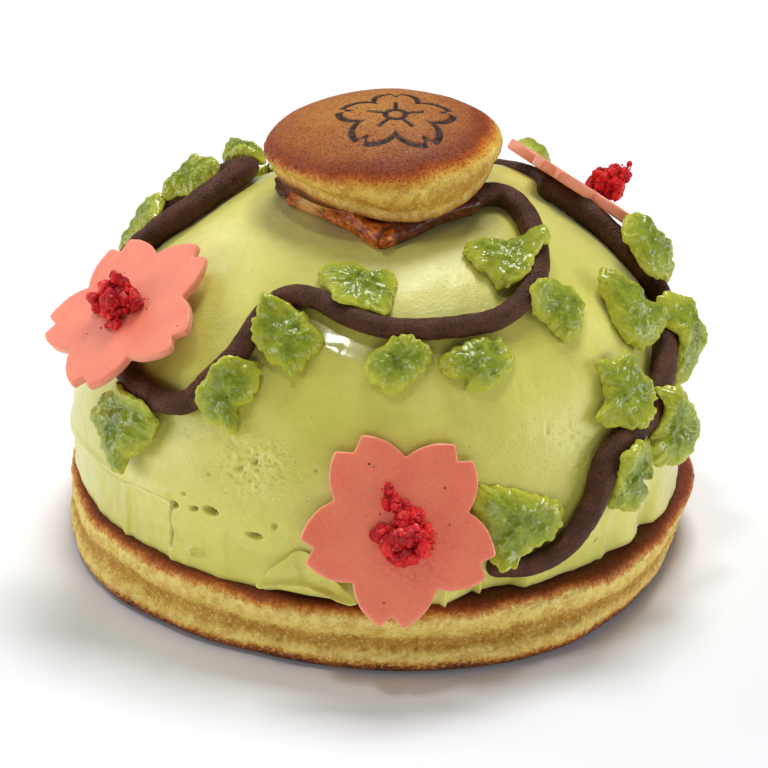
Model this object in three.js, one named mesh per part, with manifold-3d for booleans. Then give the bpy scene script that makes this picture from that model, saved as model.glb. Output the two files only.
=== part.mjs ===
// A single-portion cake: a matcha cream dome on a browned pancake base, capped with a mini pancake
// on a caramelised slice, and decorated with piped chocolate vines, leaves of green paste and
// cherry-blossom plaques that each carry a heap of dried raspberry crumbs.
//
// Millimetres, +Z up. The origin is the centre of the base's flat underside, and the front is -Y.
// A place on the dome is given by its bearing, in degrees from the front towards +X, and its polar
// angle, in degrees down from the top.

import * as THREE from "three";
import { mergeVertices } from "three/addons/utils/BufferGeometryUtils.js";
import Module from "manifold-3d";

const wasm = await Module();
wasm.setup();

// ---------------------------------------------------------------- driving sizes

const GAP = 0.3; // air between two pieces that touch

const BASE_RADIUS = 42.5; // at the browned top rim
const BASE_HEIGHT = 9;
const BASE_SIDES = 64;

const DOME_RADIUS = 41.3; // at its lower edge
const DOME_HEIGHT = 39.6; // of the full dome, before its crown is pressed flat
const DOME_POWER = 2.3; // 2 is an ellipse, and more is squarer in the shoulder
const DOME_SHIFT = -1.1; // the dome sits a little to the left of the base
const DOME_LEAN = 1.7; // and leans back to the right by its top
const DOME_SIDES = 64;
const DOME_RINGS = 20;

const CROWN_HEIGHT = 46.75; // where the cap's weight has flattened the cream
const CROWN_TILT = 3.9; // degrees, the left side lower
const CROWN_PRESS = 0.15; // what is left of the height above the flat

const SLICE_LENGTH = 25; // the left edge of the caramelised slice
const SLICE_WIDTH = 16; // its right edge
const SLICE_THICKNESS = 2.4;
const SLICE_CORNER = [-0.3, -17.3]; // the corner that points to the front
const SLICE_TURN = 39; // degrees that its left edge turns away from straight back
const SLICE_FOOT = GAP + 0.35; // the pressed cream under it still bulges a little
const SLICE_DROOP = 0.12; // how far its torn rim dips and lifts

const CAP_RADIUS = 15.5;
const CAP_CENTRE = [-0.8, 0];
const CAP_SIDES = 40;
const CAP_FOOT = SLICE_FOOT + SLICE_THICKNESS + SLICE_DROOP + GAP;
const CAP_SAG = 0.7; // of its rim where it overhangs the slice at the front right

const VINE_WIDTH = 3.4;
const VINE_THICKNESS = 2.9; // piped soft, so it has sunk a little flat
const VINE_STEP = 2.7; // length of one facet along a vine
const VINE_TIP = 0.55; // how far the rounded ends narrow
const VINE_LIFT = VINE_THICKNESS / 2 + GAP; // its middle above the cream
const VINE_MARGIN = 1; // the facets of a leaf cut corners, so they pass a wider vine

const LEAF_THICKNESS = 2.9;
const LEAF_LIFT = 2.2; // of the plane that a leaf's outline is drawn in
const LEAF_EDGE = 1.1; // thickness at a leaf's rim
const LEAF_SIDES = 16;
const LEAF_BANDS = 5;

const BLOSSOM_THICKNESS = 1.1;
const BLOSSOM_TIP = 12.2; // radius of the two points of a petal
const BLOSSOM_NOTCH = 10.7; // radius of the notch between them
const BLOSSOM_VALLEY = 8.6; // radius where two petals meet

const CRUMB_RADIUS = 1.15; // of the largest crumbs in a heap

// ---------------------------------------------------------------- finishes

const FINISH = {
  pancake: { color: 0xb98a45, roughness: 0.85 },
  cream: { color: 0xc8c163, roughness: 0.5 },
  cap: { color: 0xb07a42, roughness: 0.8 },
  caramel: { color: 0x9a5c25, roughness: 0.35 },
  chocolate: { color: 0x46302a, roughness: 0.6 },
  leaf: { color: 0x86983f, roughness: 0.4 },
  blossom: { color: 0xdb7a60, roughness: 0.6 },
  raspberry: { color: 0xa8202a, roughness: 0.75 },
};

// ---------------------------------------------------------------- helpers

const radians = THREE.MathUtils.degToRad;
const degrees = THREE.MathUtils.radToDeg;

function add(parent, name, geometry, finish) {
  const material = new THREE.MeshStandardMaterial({ ...FINISH[finish], metalness: 0 });
  const mesh = new THREE.Mesh(geometry, material);
  mesh.name = name;
  parent.add(mesh);
  return mesh;
}

// Moves every vertex of a geometry by a function of its old place.
function reshape(geometry, move) {
  const position = geometry.getAttribute("position");
  const point = new THREE.Vector3();
  for (let i = 0; i < position.count; i += 1) {
    point.fromBufferAttribute(position, i);
    point.copy(move(point));
    position.setXYZ(i, point.x, point.y, point.z);
  }
  return geometry;
}

// A lathed body, its profile given as [radius, height] from the underside up, turned to +Z up.
function lathe(profile, sides) {
  const points = profile.map(([radius, height]) => new THREE.Vector2(radius, height));
  return new THREE.LatheGeometry(points, sides).rotateX(Math.PI / 2);
}

function solidOf(geometry) {
  const bare = geometry.clone();
  bare.deleteAttribute("normal");
  bare.deleteAttribute("uv");
  const merged = mergeVertices(bare, 1e-4);
  const position = merged.getAttribute("position");
  const index = merged.index ?? { array: Uint32Array.from({ length: position.count }, (_, i) => i) };
  const mesh = new wasm.Mesh({
    numProp: 3,
    vertProperties: Float32Array.from(position.array),
    triVerts: Uint32Array.from(index.array),
  });
  return new wasm.Manifold(mesh);
}

function geometryOf(solid) {
  const mesh = solid.getMesh();
  const geometry = new THREE.BufferGeometry();
  geometry.setAttribute("position", new THREE.BufferAttribute(mesh.vertProperties, 3));
  geometry.setIndex(new THREE.BufferAttribute(mesh.triVerts, 1));
  return geometry;
}

// Repeatable random numbers from 0 to 1.
function seeded(seed) {
  let state = seed;
  return () => {
    state = (state * 16807) % 2147483647;
    return state / 2147483647;
  };
}

// A soft bump that is 1 at `middle` and fades over `width`, for angles that wrap round.
function bump(angle, middle, width) {
  const away = ((angle - middle + 540) % 360) - 180;
  return Math.exp(-((away / width) ** 2));
}

// ---------------------------------------------------------------- the dome's surface

function domeReach(polar) {
  const across = Math.abs(Math.sin(polar) / DOME_RADIUS) ** DOME_POWER;
  const upward = Math.abs(Math.cos(polar) / DOME_HEIGHT) ** DOME_POWER;
  return (across + upward) ** (-1 / DOME_POWER);
}

function domeNormal(bearing, polar) {
  const b = radians(bearing);
  const p = radians(polar);
  const across = Math.sin(p) ** (DOME_POWER - 1) / DOME_RADIUS ** DOME_POWER;
  const upward = Math.max(Math.cos(p), 0) ** (DOME_POWER - 1) / DOME_HEIGHT ** DOME_POWER;
  return new THREE.Vector3(across * Math.sin(b), -across * Math.cos(b), upward).normalize();
}

const crownUp = new THREE.Vector3(-Math.sin(radians(CROWN_TILT)), 0, Math.cos(radians(CROWN_TILT)));
const crownMiddle = new THREE.Vector3(DOME_SHIFT + DOME_LEAN, 0, CROWN_HEIGHT);

function pressCrown(point) {
  const above = point.clone().sub(crownMiddle).dot(crownUp);
  if (above > 0) point.addScaledVector(crownUp, above * (CROWN_PRESS - 1));
  return point;
}

// The point `lift` above the dome at a bearing and a polar angle, both in degrees.
function domePoint(bearing, polar, lift = 0) {
  const b = radians(bearing);
  const p = radians(polar);
  const reach = domeReach(p);
  const out = reach * Math.sin(p);
  const rise = reach * Math.cos(p);
  const sideways = DOME_SHIFT + (DOME_LEAN * rise) / DOME_HEIGHT;
  const point = new THREE.Vector3(out * Math.sin(b) + sideways, -out * Math.cos(b), BASE_HEIGHT + rise);
  return pressCrown(point).addScaledVector(domeNormal(bearing, polar), lift);
}

// The bearing, polar angle and lift of any point near the dome.
function domePlace(point) {
  const rise = point.z - BASE_HEIGHT;
  const share = THREE.MathUtils.clamp(rise / DOME_HEIGHT, 0, 1);
  const x = point.x - DOME_SHIFT - DOME_LEAN * share;
  const out = Math.hypot(x, point.y);
  const polar = Math.atan2(out, rise);
  const lift = Math.hypot(out, rise) - domeReach(Math.min(polar, Math.PI / 2));
  return { bearing: degrees(Math.atan2(x, -point.y)), polar: degrees(polar), lift };
}

// Unit vectors of a plane whose front faces a bearing at an elevation: sideways, upwards and out.
function facingAxes(bearing, elevation) {
  const b = radians(bearing);
  const e = radians(elevation);
  const side = new THREE.Vector3(Math.cos(b), Math.sin(b), 0);
  const out = new THREE.Vector3(Math.sin(b) * Math.cos(e), -Math.cos(b) * Math.cos(e), Math.sin(e));
  const up = out.clone().cross(side);
  return { side, up, out };
}

// ---------------------------------------------------------------- pancake base

const BASE_PROFILE = [
  [0, 0],
  [40.6, 0],
  [41.8, 0.7],
  [42.3, 2.0],
  [42.2, 3.2],
  [41.4, 4.3],
  [42.1, 5.5],
  [42.5, 6.9],
  [42.3, 8.1],
  [41.3, 8.85],
  [39.4, 9],
  [0, 9],
];

// Baked in a ring, the disc's rim is never quite round or level.
function baseRim(point) {
  const radius = Math.hypot(point.x, point.y);
  const bearing = Math.atan2(point.x, -point.y);
  const outer = THREE.MathUtils.smoothstep(radius, 36, BASE_RADIUS);
  const wander = 0.28 * Math.sin(3 * bearing + 0.6) + 0.16 * Math.sin(7 * bearing + 2.1);
  const level = 0.22 * Math.sin(2 * bearing + 1.2) + 0.14 * Math.sin(5 * bearing);
  const scale = radius > 0 ? 1 + (outer * wander) / radius : 1;
  const aloft = THREE.MathUtils.smoothstep(point.z, 0, 3) * outer;
  const sunk = Math.min(level, 0.1);
  return new THREE.Vector3(point.x * scale, point.y * scale, point.z + sunk * aloft);
}

function pancakeBase() {
  return reshape(lathe(BASE_PROFILE, BASE_SIDES), baseRim);
}

// ---------------------------------------------------------------- cream dome

// Low relief left by the palette knife: a seam low on the left, a lifted flap of cream at the front
// and a lower edge that runs in and out along the base.
function creamRelief(bearing, polar) {
  const seamAt = 80 - 3 * bump(bearing, -42, 14);
  const seam = bump(bearing, -56, 22) * THREE.MathUtils.smoothstep(polar, seamAt - 1.5, seamAt + 1.5);
  const flap = bump(bearing, -11, 7) * bump(polar, 86, 4);
  const low = THREE.MathUtils.smoothstep(polar, 76, 90);
  const edge = 0.35 * Math.sin(radians(9 * bearing) + 0.5) + 0.25 * Math.sin(radians(17 * bearing));
  const inset = 0.9 * bump(bearing, 60, 50) + 0.5 * bump(bearing, 5, 30);
  return -0.5 * seam + 0.8 * flap + low * (edge - inset - 0.3);
}

function creamDome() {
  const lowest = degrees(Math.acos(GAP / DOME_RADIUS));
  const profile = [[0, 0]];
  for (let ring = 0; ring <= DOME_RINGS; ring += 1) {
    const polar = radians(lowest * (1 - ring / DOME_RINGS));
    profile.push([Math.sin(polar), Math.cos(polar)]);
  }
  profile[0] = [0, profile[1][1]];
  const foot = BASE_HEIGHT + GAP;
  return reshape(lathe(profile, DOME_SIDES), (point) => {
    const radius = Math.hypot(point.x, point.y);
    if (radius < 1e-6 && point.z < 0.5) return new THREE.Vector3(DOME_SHIFT, 0, foot);
    const bearing = degrees(Math.atan2(point.x, -point.y));
    const polar = degrees(Math.atan2(radius, point.z));
    const placed = domePoint(bearing, polar, creamRelief(bearing, polar));
    if (polar > lowest - 0.01) placed.z = foot;
    return placed;
  });
}

// ---------------------------------------------------------------- slice and cap on the crown

// What lies on the crown shares its tilt, so both are modelled level in one turned group.
const crown = new THREE.Group();
crown.position.copy(crownMiddle);
crown.quaternion.setFromUnitVectors(new THREE.Vector3(0, 0, 1), crownUp);

// A rectangular slice whose torn edges run in and out, with a flake curling up on its left edge.
function caramelSlice() {
  const cells = 8;
  const block = new THREE.BoxGeometry(SLICE_LENGTH, SLICE_WIDTH, SLICE_THICKNESS, cells, cells, 2);
  return reshape(block, (point) => {
    const along = point.x / (SLICE_LENGTH / 2);
    const across = point.y / (SLICE_WIDTH / 2);
    const torn = 0.35 * Math.sin(5.3 * along + 2 * point.z) + 0.3 * Math.sin(6.1 * across + point.z);
    const rim = Math.max(Math.abs(along), Math.abs(across)) ** 6;
    const flake = 0.3 * Math.max(0, 1 - Math.abs(along - 0.5) * 2.5) * Math.max(across, 0) ** 4;
    const x = point.x + torn * rim * Math.sign(along);
    const y = point.y + torn * rim * Math.sign(across);
    const droop = rim * SLICE_DROOP * Math.sin(4 * along + 3 * across);
    return new THREE.Vector3(x, y, point.z + droop + (point.z > 0 ? flake : 0));
  });
}

const CAP_PROFILE = [
  [0, 0],
  [13.3, 0],
  [14.6, 0.5],
  [14.9, 1.3],
  [14.6, 2.5],
  [15.3, 3.3],
  [15.5, 4.1],
  [15.0, 5.2],
  [14.0, 6.2],
  [11.4, 7.7],
  [7.6, 9.0],
  [3.6, 9.7],
  [0, 9.85],
];

function capPancake() {
  return reshape(lathe(CAP_PROFILE, CAP_SIDES), (point) => {
    const radius = Math.hypot(point.x, point.y);
    const bearing = Math.atan2(point.x, -point.y);
    const outer = THREE.MathUtils.smoothstep(radius, 10, CAP_RADIUS);
    const wander = 0.2 * Math.sin(3 * bearing + 1) + 0.12 * Math.sin(8 * bearing);
    const scale = radius > 0 ? 1 + (outer * wander) / radius : 1;
    const overhang = bump(degrees(bearing), 38, 34) * THREE.MathUtils.smoothstep(radius, 13.4, 14.8);
    const low = 1 - THREE.MathUtils.smoothstep(point.z, 2, 7);
    return new THREE.Vector3(point.x * scale, point.y * scale, point.z - CAP_SAG * overhang * low);
  });
}

// ---------------------------------------------------------------- vines

// Each vine is a list of [bearing, polar] stops that it is piped through.
const VINES = {
  vine_front: [
    [-122, 64], [-117, 56], [-116, 48], [-120, 42], [-124, 37], [-122, 33], [-116, 31.5], [-108, 32],
    [-100, 34.5], [-94, 38.5], [-94, 44], [-92, 50], [-84, 54], [-72, 58], [-60, 60], [-52, 61.5],
    [-45, 61.5], [-39, 60], [-35.5, 55], [-32.5, 50], [-31.5, 45], [-30, 40.5], [-26, 38], [-19, 37.8],
    [-11, 39.8], [-2, 41.5], [6, 42], [20, 42], [30, 41.5], [41, 38.5], [49, 35.5], [56, 32], [64, 28.5],
    [74, 25], [84, 21.5], [79, 17.5],
  ],
  vine_right: [
    [113, 29], [107, 33.5], [102, 38], [98, 43], [95, 48], [95, 54], [89, 58.5], [76, 60],
    [69, 63], [60, 66], [51, 67.5], [45, 70], [41, 76], [36, 81], [29, 83.5], [19, 82.5],
  ],
  vine_back: [
    [116.6, 28.9], [123, 29.8], [131, 32], [138, 36.5], [144, 41], [153, 44], [163, 48.5], [170, 56],
    [178, 61.5], [188, 63], [198, 57], [204, 49], [213, 44],
  ],
};

const vinePaths = Object.fromEntries(
  Object.entries(VINES).map(([name, stops]) => {
    const points = stops.map(([bearing, polar]) => domePoint(bearing, polar, VINE_LIFT));
    return [name, new THREE.CatmullRomCurve3(points, false, "centripetal")];
  }),
);

// An eight-sided bar, extruded straight and then bent along its path, with its ends drawn in.
function vine(path) {
  const length = path.getLength();
  const steps = Math.round(length / VINE_STEP);
  const section = new THREE.Shape();
  section.absellipse(0, 0, VINE_WIDTH / 2, VINE_THICKNESS / 2, 0, 2 * Math.PI);
  const settings = { depth: 1, steps, curveSegments: 4, bevelEnabled: false };
  return reshape(new THREE.ExtrudeGeometry(section, settings), (point) => {
    const along = THREE.MathUtils.clamp(point.z, 0, 1);
    const middle = path.getPointAt(along);
    const forward = path.getTangentAt(along);
    const { bearing, polar } = domePlace(middle);
    const outward = domeNormal(bearing, polar);
    const sideways = outward.clone().cross(forward).normalize();
    const fromEnd = Math.min(along, 1 - along) * length;
    const girth = VINE_TIP + (1 - VINE_TIP) * THREE.MathUtils.smoothstep(fromEnd, 0, VINE_WIDTH / 2);
    middle.addScaledVector(sideways, point.x * girth);
    middle.addScaledVector(outward, point.y * girth);
    return middle;
  });
}

// Height above the cream that a leaf needs at a place, to lie over the vines.
const vineSamples = Object.values(vinePaths).flatMap((path) =>
  path.getSpacedPoints(Math.round(path.getLength() / 0.7)),
);

function supportHeight(bearing, polar) {
  const here = domePoint(bearing, polar, VINE_LIFT);
  const nearest = Math.min(...vineSamples.map((sample) => sample.distanceTo(here)));
  const girth = VINE_WIDTH / 2 + VINE_MARGIN;
  if (nearest >= girth) return 0;
  return VINE_LIFT + Math.sqrt(girth ** 2 - nearest ** 2) * (VINE_THICKNESS / VINE_WIDTH);
}

// ---------------------------------------------------------------- leaves

// Each leaf is a flat dab of paste. `at` is the bearing and polar angle of its middle, and `outline`
// holds the corners of its edge, sideways and upwards from there. A leaf with `facing` stands off the
// cream at `rise`, turned to that bearing and elevation, and the others lie draped over it.
const LEAVES = {
  leaf_left_1: {
    at: [-118, 42],
    rise: 4.1,
    facing: [-55, 38],
    outline: [
      [-1.9, 3.1], [-0.5, 2.4], [1.8, 3.5], [3.5, 3.2], [3.6, 1.2], [2.6, -1.3], [0.4, -3.4],
      [-0.7, -5], [-2, -3.6], [-2.7, -0.8],
    ],
  },
  leaf_left_2: {
    at: [-111, 50.5],
    rise: 3.2,
    facing: [-88, 38],
    outline: [
      [-1.8, 3], [0.9, 2.3], [3.4, 1.5], [2.4, -1.4], [1.6, -4], [0.5, -6.6], [-0.7, -4],
      [-3.5, -1.8], [-3.2, 0.8],
    ],
  },
  leaf_left_3: {
    at: [-130, 36],
    rise: 4,
    facing: [-50, 45],
    outline: [
      [-3.4, -1.4], [-3.5, 0.5], [-2.5, 1.1], [0.2, 1.2], [2.4, 1.6], [4.4, 0.5], [4.8, -1.6],
      [1.6, -2.6], [-1.8, -2.6],
    ],
  },
  leaf_left_4: {
    at: [-52, 69],
    rise: 2.4,
    facing: [-48, 24],
    outline: [
      [-4.2, 4.6], [-2.7, 5.6], [0.2, 5], [5, 4.5], [5.6, 1.2], [4.5, -1.2], [2.7, -2.7],
      [2.4, -4.9], [1.1, -5.5], [-0.8, -4.4], [-4.4, -1.4], [-6.2, 0],
    ],
  },
  leaf_front_1: {
    at: [-32, 57],
    outline: [
      [-0.6, 4.2], [0.8, 5.1], [2.9, 4.9], [3.9, 2.9], [3.7, 0.4], [2.1, -1.1], [3.1, -3.8],
      [2.5, -4.8], [0.8, -3.9], [-1.6, -3.6], [-2.7, -1.4], [-1.9, 1.4],
    ],
  },
  leaf_front_2: {
    at: [-23, 44],
    outline: [
      [-4.4, 2.8], [-2, 3.2], [1, 2.8], [2, 1.8], [4.2, 0.6], [4.7, -0.8], [3.8, -2.7],
      [2.4, -6.1], [0.5, -4.9], [-1.7, -4.7], [-4.2, -1.7], [-4.1, 0.5],
    ],
  },
  leaf_front_3: {
    at: [-10, 34],
    outline: [
      [-5.1, 2.3], [-4.2, 3.7], [-0.9, 4.2], [2.3, 2.4], [4.1, 3.3], [5.1, 1.3], [4.7, -4],
      [1, -3.8], [-1.4, -4.3], [-2.4, -2.4], [-4.4, 0],
    ],
  },
  leaf_front_4: {
    at: [3, 47],
    outline: [
      [-0.2, 2.5], [3.1, 2], [4.6, 0.5], [3.2, -1.6], [0.2, -4.1], [-1.6, -4], [-3.2, -3.1],
      [-4.2, -0.8], [-3.6, 0.8], [-1.2, 2],
    ],
  },
  leaf_front_5: {
    at: [21, 48],
    outline: [
      [-4.9, 0.8], [-2.9, 1.8], [-0.4, 2.4], [1.3, 2.7], [2.6, 2.2], [3.9, 2.4], [5.2, -0.5],
      [3.2, -2.5], [0.4, -3.8], [-1.9, -3.6], [-1.8, -2], [-3.9, -1.8],
    ],
  },
  leaf_front_6: {
    at: [26, 76],
    outline: [
      [-6, 6], [-2.5, 5.6], [2.8, 3.4], [7.2, 1.2], [5.3, -1.9], [1.9, -3.6], [-0.5, -4.1],
      [-1.5, -4.7], [-3.6, -4.6], [-5.2, -2.6], [-6.2, 2],
    ],
  },
  leaf_right_1: {
    at: [45, 30],
    outline: [
      [-4.7, 3], [-1.6, 3.9], [2.4, 1.5], [5.2, 0.6], [6.2, -1], [5, -2.1], [3, -2.5],
      [1.2, -3.5], [-1, -4.8], [-4.9, -4.2], [-4.6, -2.4], [-5.1, 0.1],
    ],
  },
  leaf_right_2: {
    at: [48, 42],
    outline: [
      [-1, 2.6], [2.2, 2.6], [4.7, 1], [4.9, -1.4], [1.6, -4.7], [-1.2, -5.4], [-2.6, -3.6],
      [-3.2, -1.8], [-4.6, 0.2], [-4.8, 1.8], [-3.4, 2.8],
    ],
  },
  leaf_right_3: {
    at: [143, 45],
    rise: 6,
    facing: [120, 50],
    outline: [
      [-3.9, 2.4], [-1, 2.6], [1.6, 2], [3.4, 0.6], [3, -1.4], [1.2, -2.8], [-2, -2.4],
      [-3.7, -0.2],
    ],
  },
  leaf_right_4: {
    at: [91.5, 47],
    rise: 4.9,
    facing: [62, 35],
    outline: [
      [-1.7, 3.4], [0, 4.1], [1.8, 3.8], [3.6, 2.6], [3.6, 0.9], [5.8, -1.8], [5.6, -3.7],
      [3.6, -4.6], [3.3, -5.6], [1.2, -5.8], [-1, -4.2], [-2.7, -2], [-2.4, 0.8], [-3.2, 2.4],
    ],
  },
  leaf_right_5: {
    at: [70, 50],
    rise: 2.2,
    facing: [50, 38],
    outline: [
      [-2.7, 5.4], [-0.9, 5.9], [2.8, 2], [3.4, -0.2], [6, -2.4], [4.6, -4], [1.6, -5.6],
      [-1.4, -5.3], [-2.8, -4.5], [-4.2, -1.2], [-3.5, 2.2],
    ],
  },
  leaf_right_6: {
    at: [81, 61],
    rise: 4,
    facing: [55, 25],
    outline: [
      [-2.2, 6.2], [0, 6.2], [2.2, 5.2], [4.2, 4.2], [4, 1], [4.6, -1.8], [2, -3.6],
      [-1, -4.9], [-4.2, -5.3], [-5.2, -4.4], [-3.5, -1.2], [-3, 2],
    ],
  },
  leaf_right_7: {
    at: [54, 60],
    rise: 2.2,
    facing: [46, 30],
    outline: [
      [-2.8, 4.2], [-1.4, 4.7], [0.4, 4.1], [2.6, 4.7], [3.6, 2.2], [5.6, -1.3], [3.8, -2.8],
      [0.1, -4.7], [-3.1, -4.4], [-5.8, -1.8], [-3.8, -0.6], [-3.1, 1.8],
    ],
  },
  leaf_right_8: {
    at: [64, 70],
    rise: 4,
    facing: [45, 20],
    outline: [
      [-1.6, 5.7], [2.5, 4.2], [3.7, 2], [4.4, -2.2], [2.3, -3.4], [0.8, -4.7], [-3.6, -4.2],
      [-5.9, -3.2], [-6, -1.2], [-3.6, 1.6], [-3, 4],
    ],
  },
  leaf_right_9: {
    at: [50, 73],
    rise: 2.2,
    facing: [42, 18],
    outline: [
      [1.4, 4.1], [4, 2.6], [4.7, 0], [3.6, -2], [2, -1.2], [2.3, -3.8], [0, -5.1],
      [-3.8, -3.4], [-3.1, -0.6], [-4.1, 1.8], [-2.6, 3.6],
    ],
  },
};

// The leaves round the back follow the same vine, each with a lobed outline and a tail of its own.
const BACK_LEAVES = [
  [162, 41], [156, 53], [174, 50], [163, 64], [174, 71], [210, 38], [217, 51], [222, 68],
];

function lobedOutline(random) {
  const corners = 11;
  const tail = 6 + Math.floor(random() * 3);
  return Array.from({ length: corners }, (_, i) => {
    const angle = Math.PI / 2 - (i / corners) * 2 * Math.PI;
    const reach = i === tail ? 5.8 : 3.6 + 1.2 * (i % 2) * random() + 0.5 * random();
    return [reach * Math.cos(angle), reach * Math.sin(angle)];
  });
}

BACK_LEAVES.forEach((at, i) => {
  LEAVES[`leaf_back_${i + 1}`] = { at, outline: lobedOutline(seeded(101 + 37 * i)) };
});

function leaf({ at, rise = LEAF_LIFT, facing, outline }, wobble) {
  const [bearing, polar] = at;
  const normal = domeNormal(bearing, polar);
  const level = [degrees(Math.atan2(normal.x, -normal.y)), degrees(Math.asin(normal.z))];
  const { side, up } = facingAxes(...(facing ?? level));
  const middle = domePoint(bearing, polar, rise);
  const corners = outline.map(([x, y]) => new THREE.Vector3(x, y, 0));
  const edge = new THREE.CatmullRomCurve3(corners, true, "centripetal");
  const ball = new THREE.SphereGeometry(1, LEAF_SIDES, LEAF_BANDS);
  return reshape(ball, (point) => {
    const turn = Math.atan2(point.z, point.x) / (2 * Math.PI) + 1 + 1e-9;
    const rim = edge.getPointAt(turn % 1);
    const spread = Math.hypot(point.x, point.z);
    const x = rim.x * spread;
    const y = rim.y * spread;
    const planar = middle.clone().addScaledVector(side, x).addScaledVector(up, y);
    const place = domePlace(planar);
    const resting = supportHeight(place.bearing, place.polar) + GAP;
    const foot = facing ? Math.max(resting, place.lift - LEAF_THICKNESS / 2) : resting;
    const lumps = 0.3 * Math.sin(1.7 * x + wobble) * Math.cos(1.9 * y - wobble);
    const above = LEAF_EDGE + (LEAF_THICKNESS - LEAF_EDGE + lumps) * Math.max(point.y, 0) ** 0.7;
    const below = LEAF_EDGE * 0.5 * (1 + point.y);
    return domePoint(place.bearing, place.polar, foot + (point.y > 0 ? above : below));
  });
}

// ---------------------------------------------------------------- blossoms and their crumbs

// `rise` is the lift of the plaque's middle, `spin` the angle of one petal from sideways, and
// `heap` the mounds that its crumbs form: [sideways, upwards, radius, height].
const BLOSSOMS = {
  front: {
    at: [4.4, 74.1], rise: 2.4, facing: [5, 27], spin: 48.5, size: 1.01,
    heap: [[0.4, -1.9, 4.1, 2.6], [0, 1.4, 2.3, 2.2], [-1.2, 4, 1.6, 1.6]],
  },
  left: {
    at: [-63.4, 52.6], rise: 3.9, facing: [-55.3, 53.5], spin: 3.7, size: 1.02,
    heap: [[-0.5, 0.1, 3.2, 3.6], [-1.7, 0.9, 2.3, 5.2], [2.4, -1, 1.6, 1.5], [-2.5, -1.3, 1.8, 3]],
  },
  right: {
    at: [118.9, 42.1], rise: 3.4, facing: [119.3, 53.5], spin: 43, size: 1,
    heap: [[-0.4, -0.5, 1.7, 4.4], [-1.9, -2.3, 1.9, 6], [-1, -0.6, 2, 2.6]],
  },
  back: {
    at: [196, 66], rise: 5.2, facing: [196, 32], spin: 33, size: 1,
    heap: [[0.3, -1, 3, 2.8], [1.8, 2, 1.8, 2]],
  },
};

function blossomShape(size) {
  const shape = new THREE.Shape();
  const at = (turn, radius) => {
    const angle = radians(turn);
    return [size * radius * Math.cos(angle), size * radius * Math.sin(angle)];
  };
  const half = 36; // degrees from a petal's middle to the valley beside it
  const flank = 24.3; // where the petal's side swells
  const point = 6.8; // where its two points are
  const swell = 11.3;
  shape.moveTo(...at(-half, BLOSSOM_VALLEY));
  for (let petal = 0; petal < 5; petal += 1) {
    const turn = petal * 2 * half;
    shape.quadraticCurveTo(...at(turn - flank, swell), ...at(turn - point, BLOSSOM_TIP));
    shape.lineTo(...at(turn, BLOSSOM_NOTCH));
    shape.lineTo(...at(turn + point, BLOSSOM_TIP));
    shape.quadraticCurveTo(...at(turn + flank, swell), ...at(turn + half, BLOSSOM_VALLEY));
  }
  return shape;
}

function blossom({ size, spin }) {
  const settings = { depth: BLOSSOM_THICKNESS, steps: 1, curveSegments: 3, bevelEnabled: false };
  const plaque = new THREE.ExtrudeGeometry(blossomShape(size), settings);
  return plaque.translate(0, 0, -BLOSSOM_THICKNESS / 2).rotateZ(radians(spin));
}

// A heap of crumbs: a core under each mound, angular crumbs fused over it, and a flat foot.
function crumbHeap(mounds, seed) {
  const random = seeded(seed);
  const foot = BLOSSOM_THICKNESS / 2 + GAP;
  let heap;
  const fuse = (geometry) => {
    const solid = solidOf(geometry);
    heap = heap ? heap.add(solid) : solid;
  };
  for (const [x, y, radius, height] of mounds) {
    const core = new THREE.IcosahedronGeometry(1, 0);
    core.scale(radius * 0.85, radius * 0.85, height * 0.85).translate(x, y, foot);
    fuse(core);
    const count = Math.round(1 + radius * 1.3);
    for (let i = 0; i < count; i += 1) {
      const turn = (i + random()) * ((2 * Math.PI) / count);
      const steep = random() * 1.2;
      const crumb = new THREE.IcosahedronGeometry(CRUMB_RADIUS * (0.6 + 0.4 * random()), 0);
      crumb.rotateX(random() * 3).rotateY(random() * 3);
      const out = radius * 0.72 * Math.cos(steep);
      crumb.translate(
        x + out * Math.cos(turn),
        y + out * Math.sin(turn),
        foot + height * 0.72 * Math.sin(steep),
      );
      fuse(crumb);
    }
  }
  const slab = new THREE.BoxGeometry(40, 40, 20).translate(0, 0, foot - 10);
  return geometryOf(heap.subtract(solidOf(slab)));
}

// ---------------------------------------------------------------- assembly

const cake = new THREE.Group();
add(cake, "pancake_base", pancakeBase(), "pancake");
add(cake, "cream_dome", creamDome(), "cream");

cake.add(crown);
const slice = add(crown, "caramel_slice", caramelSlice(), "caramel");
const sliceTurn = radians(90 + SLICE_TURN);
const toMiddle = new THREE.Vector3(SLICE_LENGTH / 2, -SLICE_WIDTH / 2, 0);
toMiddle.applyAxisAngle(new THREE.Vector3(0, 0, 1), sliceTurn);
slice.rotation.z = sliceTurn;
slice.position.set(
  SLICE_CORNER[0] + toMiddle.x - crownMiddle.x,
  SLICE_CORNER[1] + toMiddle.y - crownMiddle.y,
  SLICE_FOOT + SLICE_THICKNESS / 2,
);
const cap = add(crown, "cap_pancake", capPancake(), "cap");
cap.position.set(CAP_CENTRE[0] - crownMiddle.x, CAP_CENTRE[1] - crownMiddle.y, CAP_FOOT);

for (const [name, path] of Object.entries(vinePaths)) add(cake, name, vine(path), "chocolate");

Object.entries(LEAVES).forEach(([name, shape], i) => add(cake, name, leaf(shape, i), "leaf"));

Object.entries(BLOSSOMS).forEach(([place, flower], i) => {
  const { side, up, out } = facingAxes(...flower.facing);
  const plaque = new THREE.Group();
  plaque.position.copy(domePoint(...flower.at, flower.rise));
  plaque.quaternion.setFromRotationMatrix(new THREE.Matrix4().makeBasis(side, up, out));
  add(plaque, `blossom_${place}`, blossom(flower), "blossom");
  add(plaque, `crumbs_${place}`, crumbHeap(flower.heap, 11 + i), "raspberry");
  cake.add(plaque);
});

export default cake;
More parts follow.
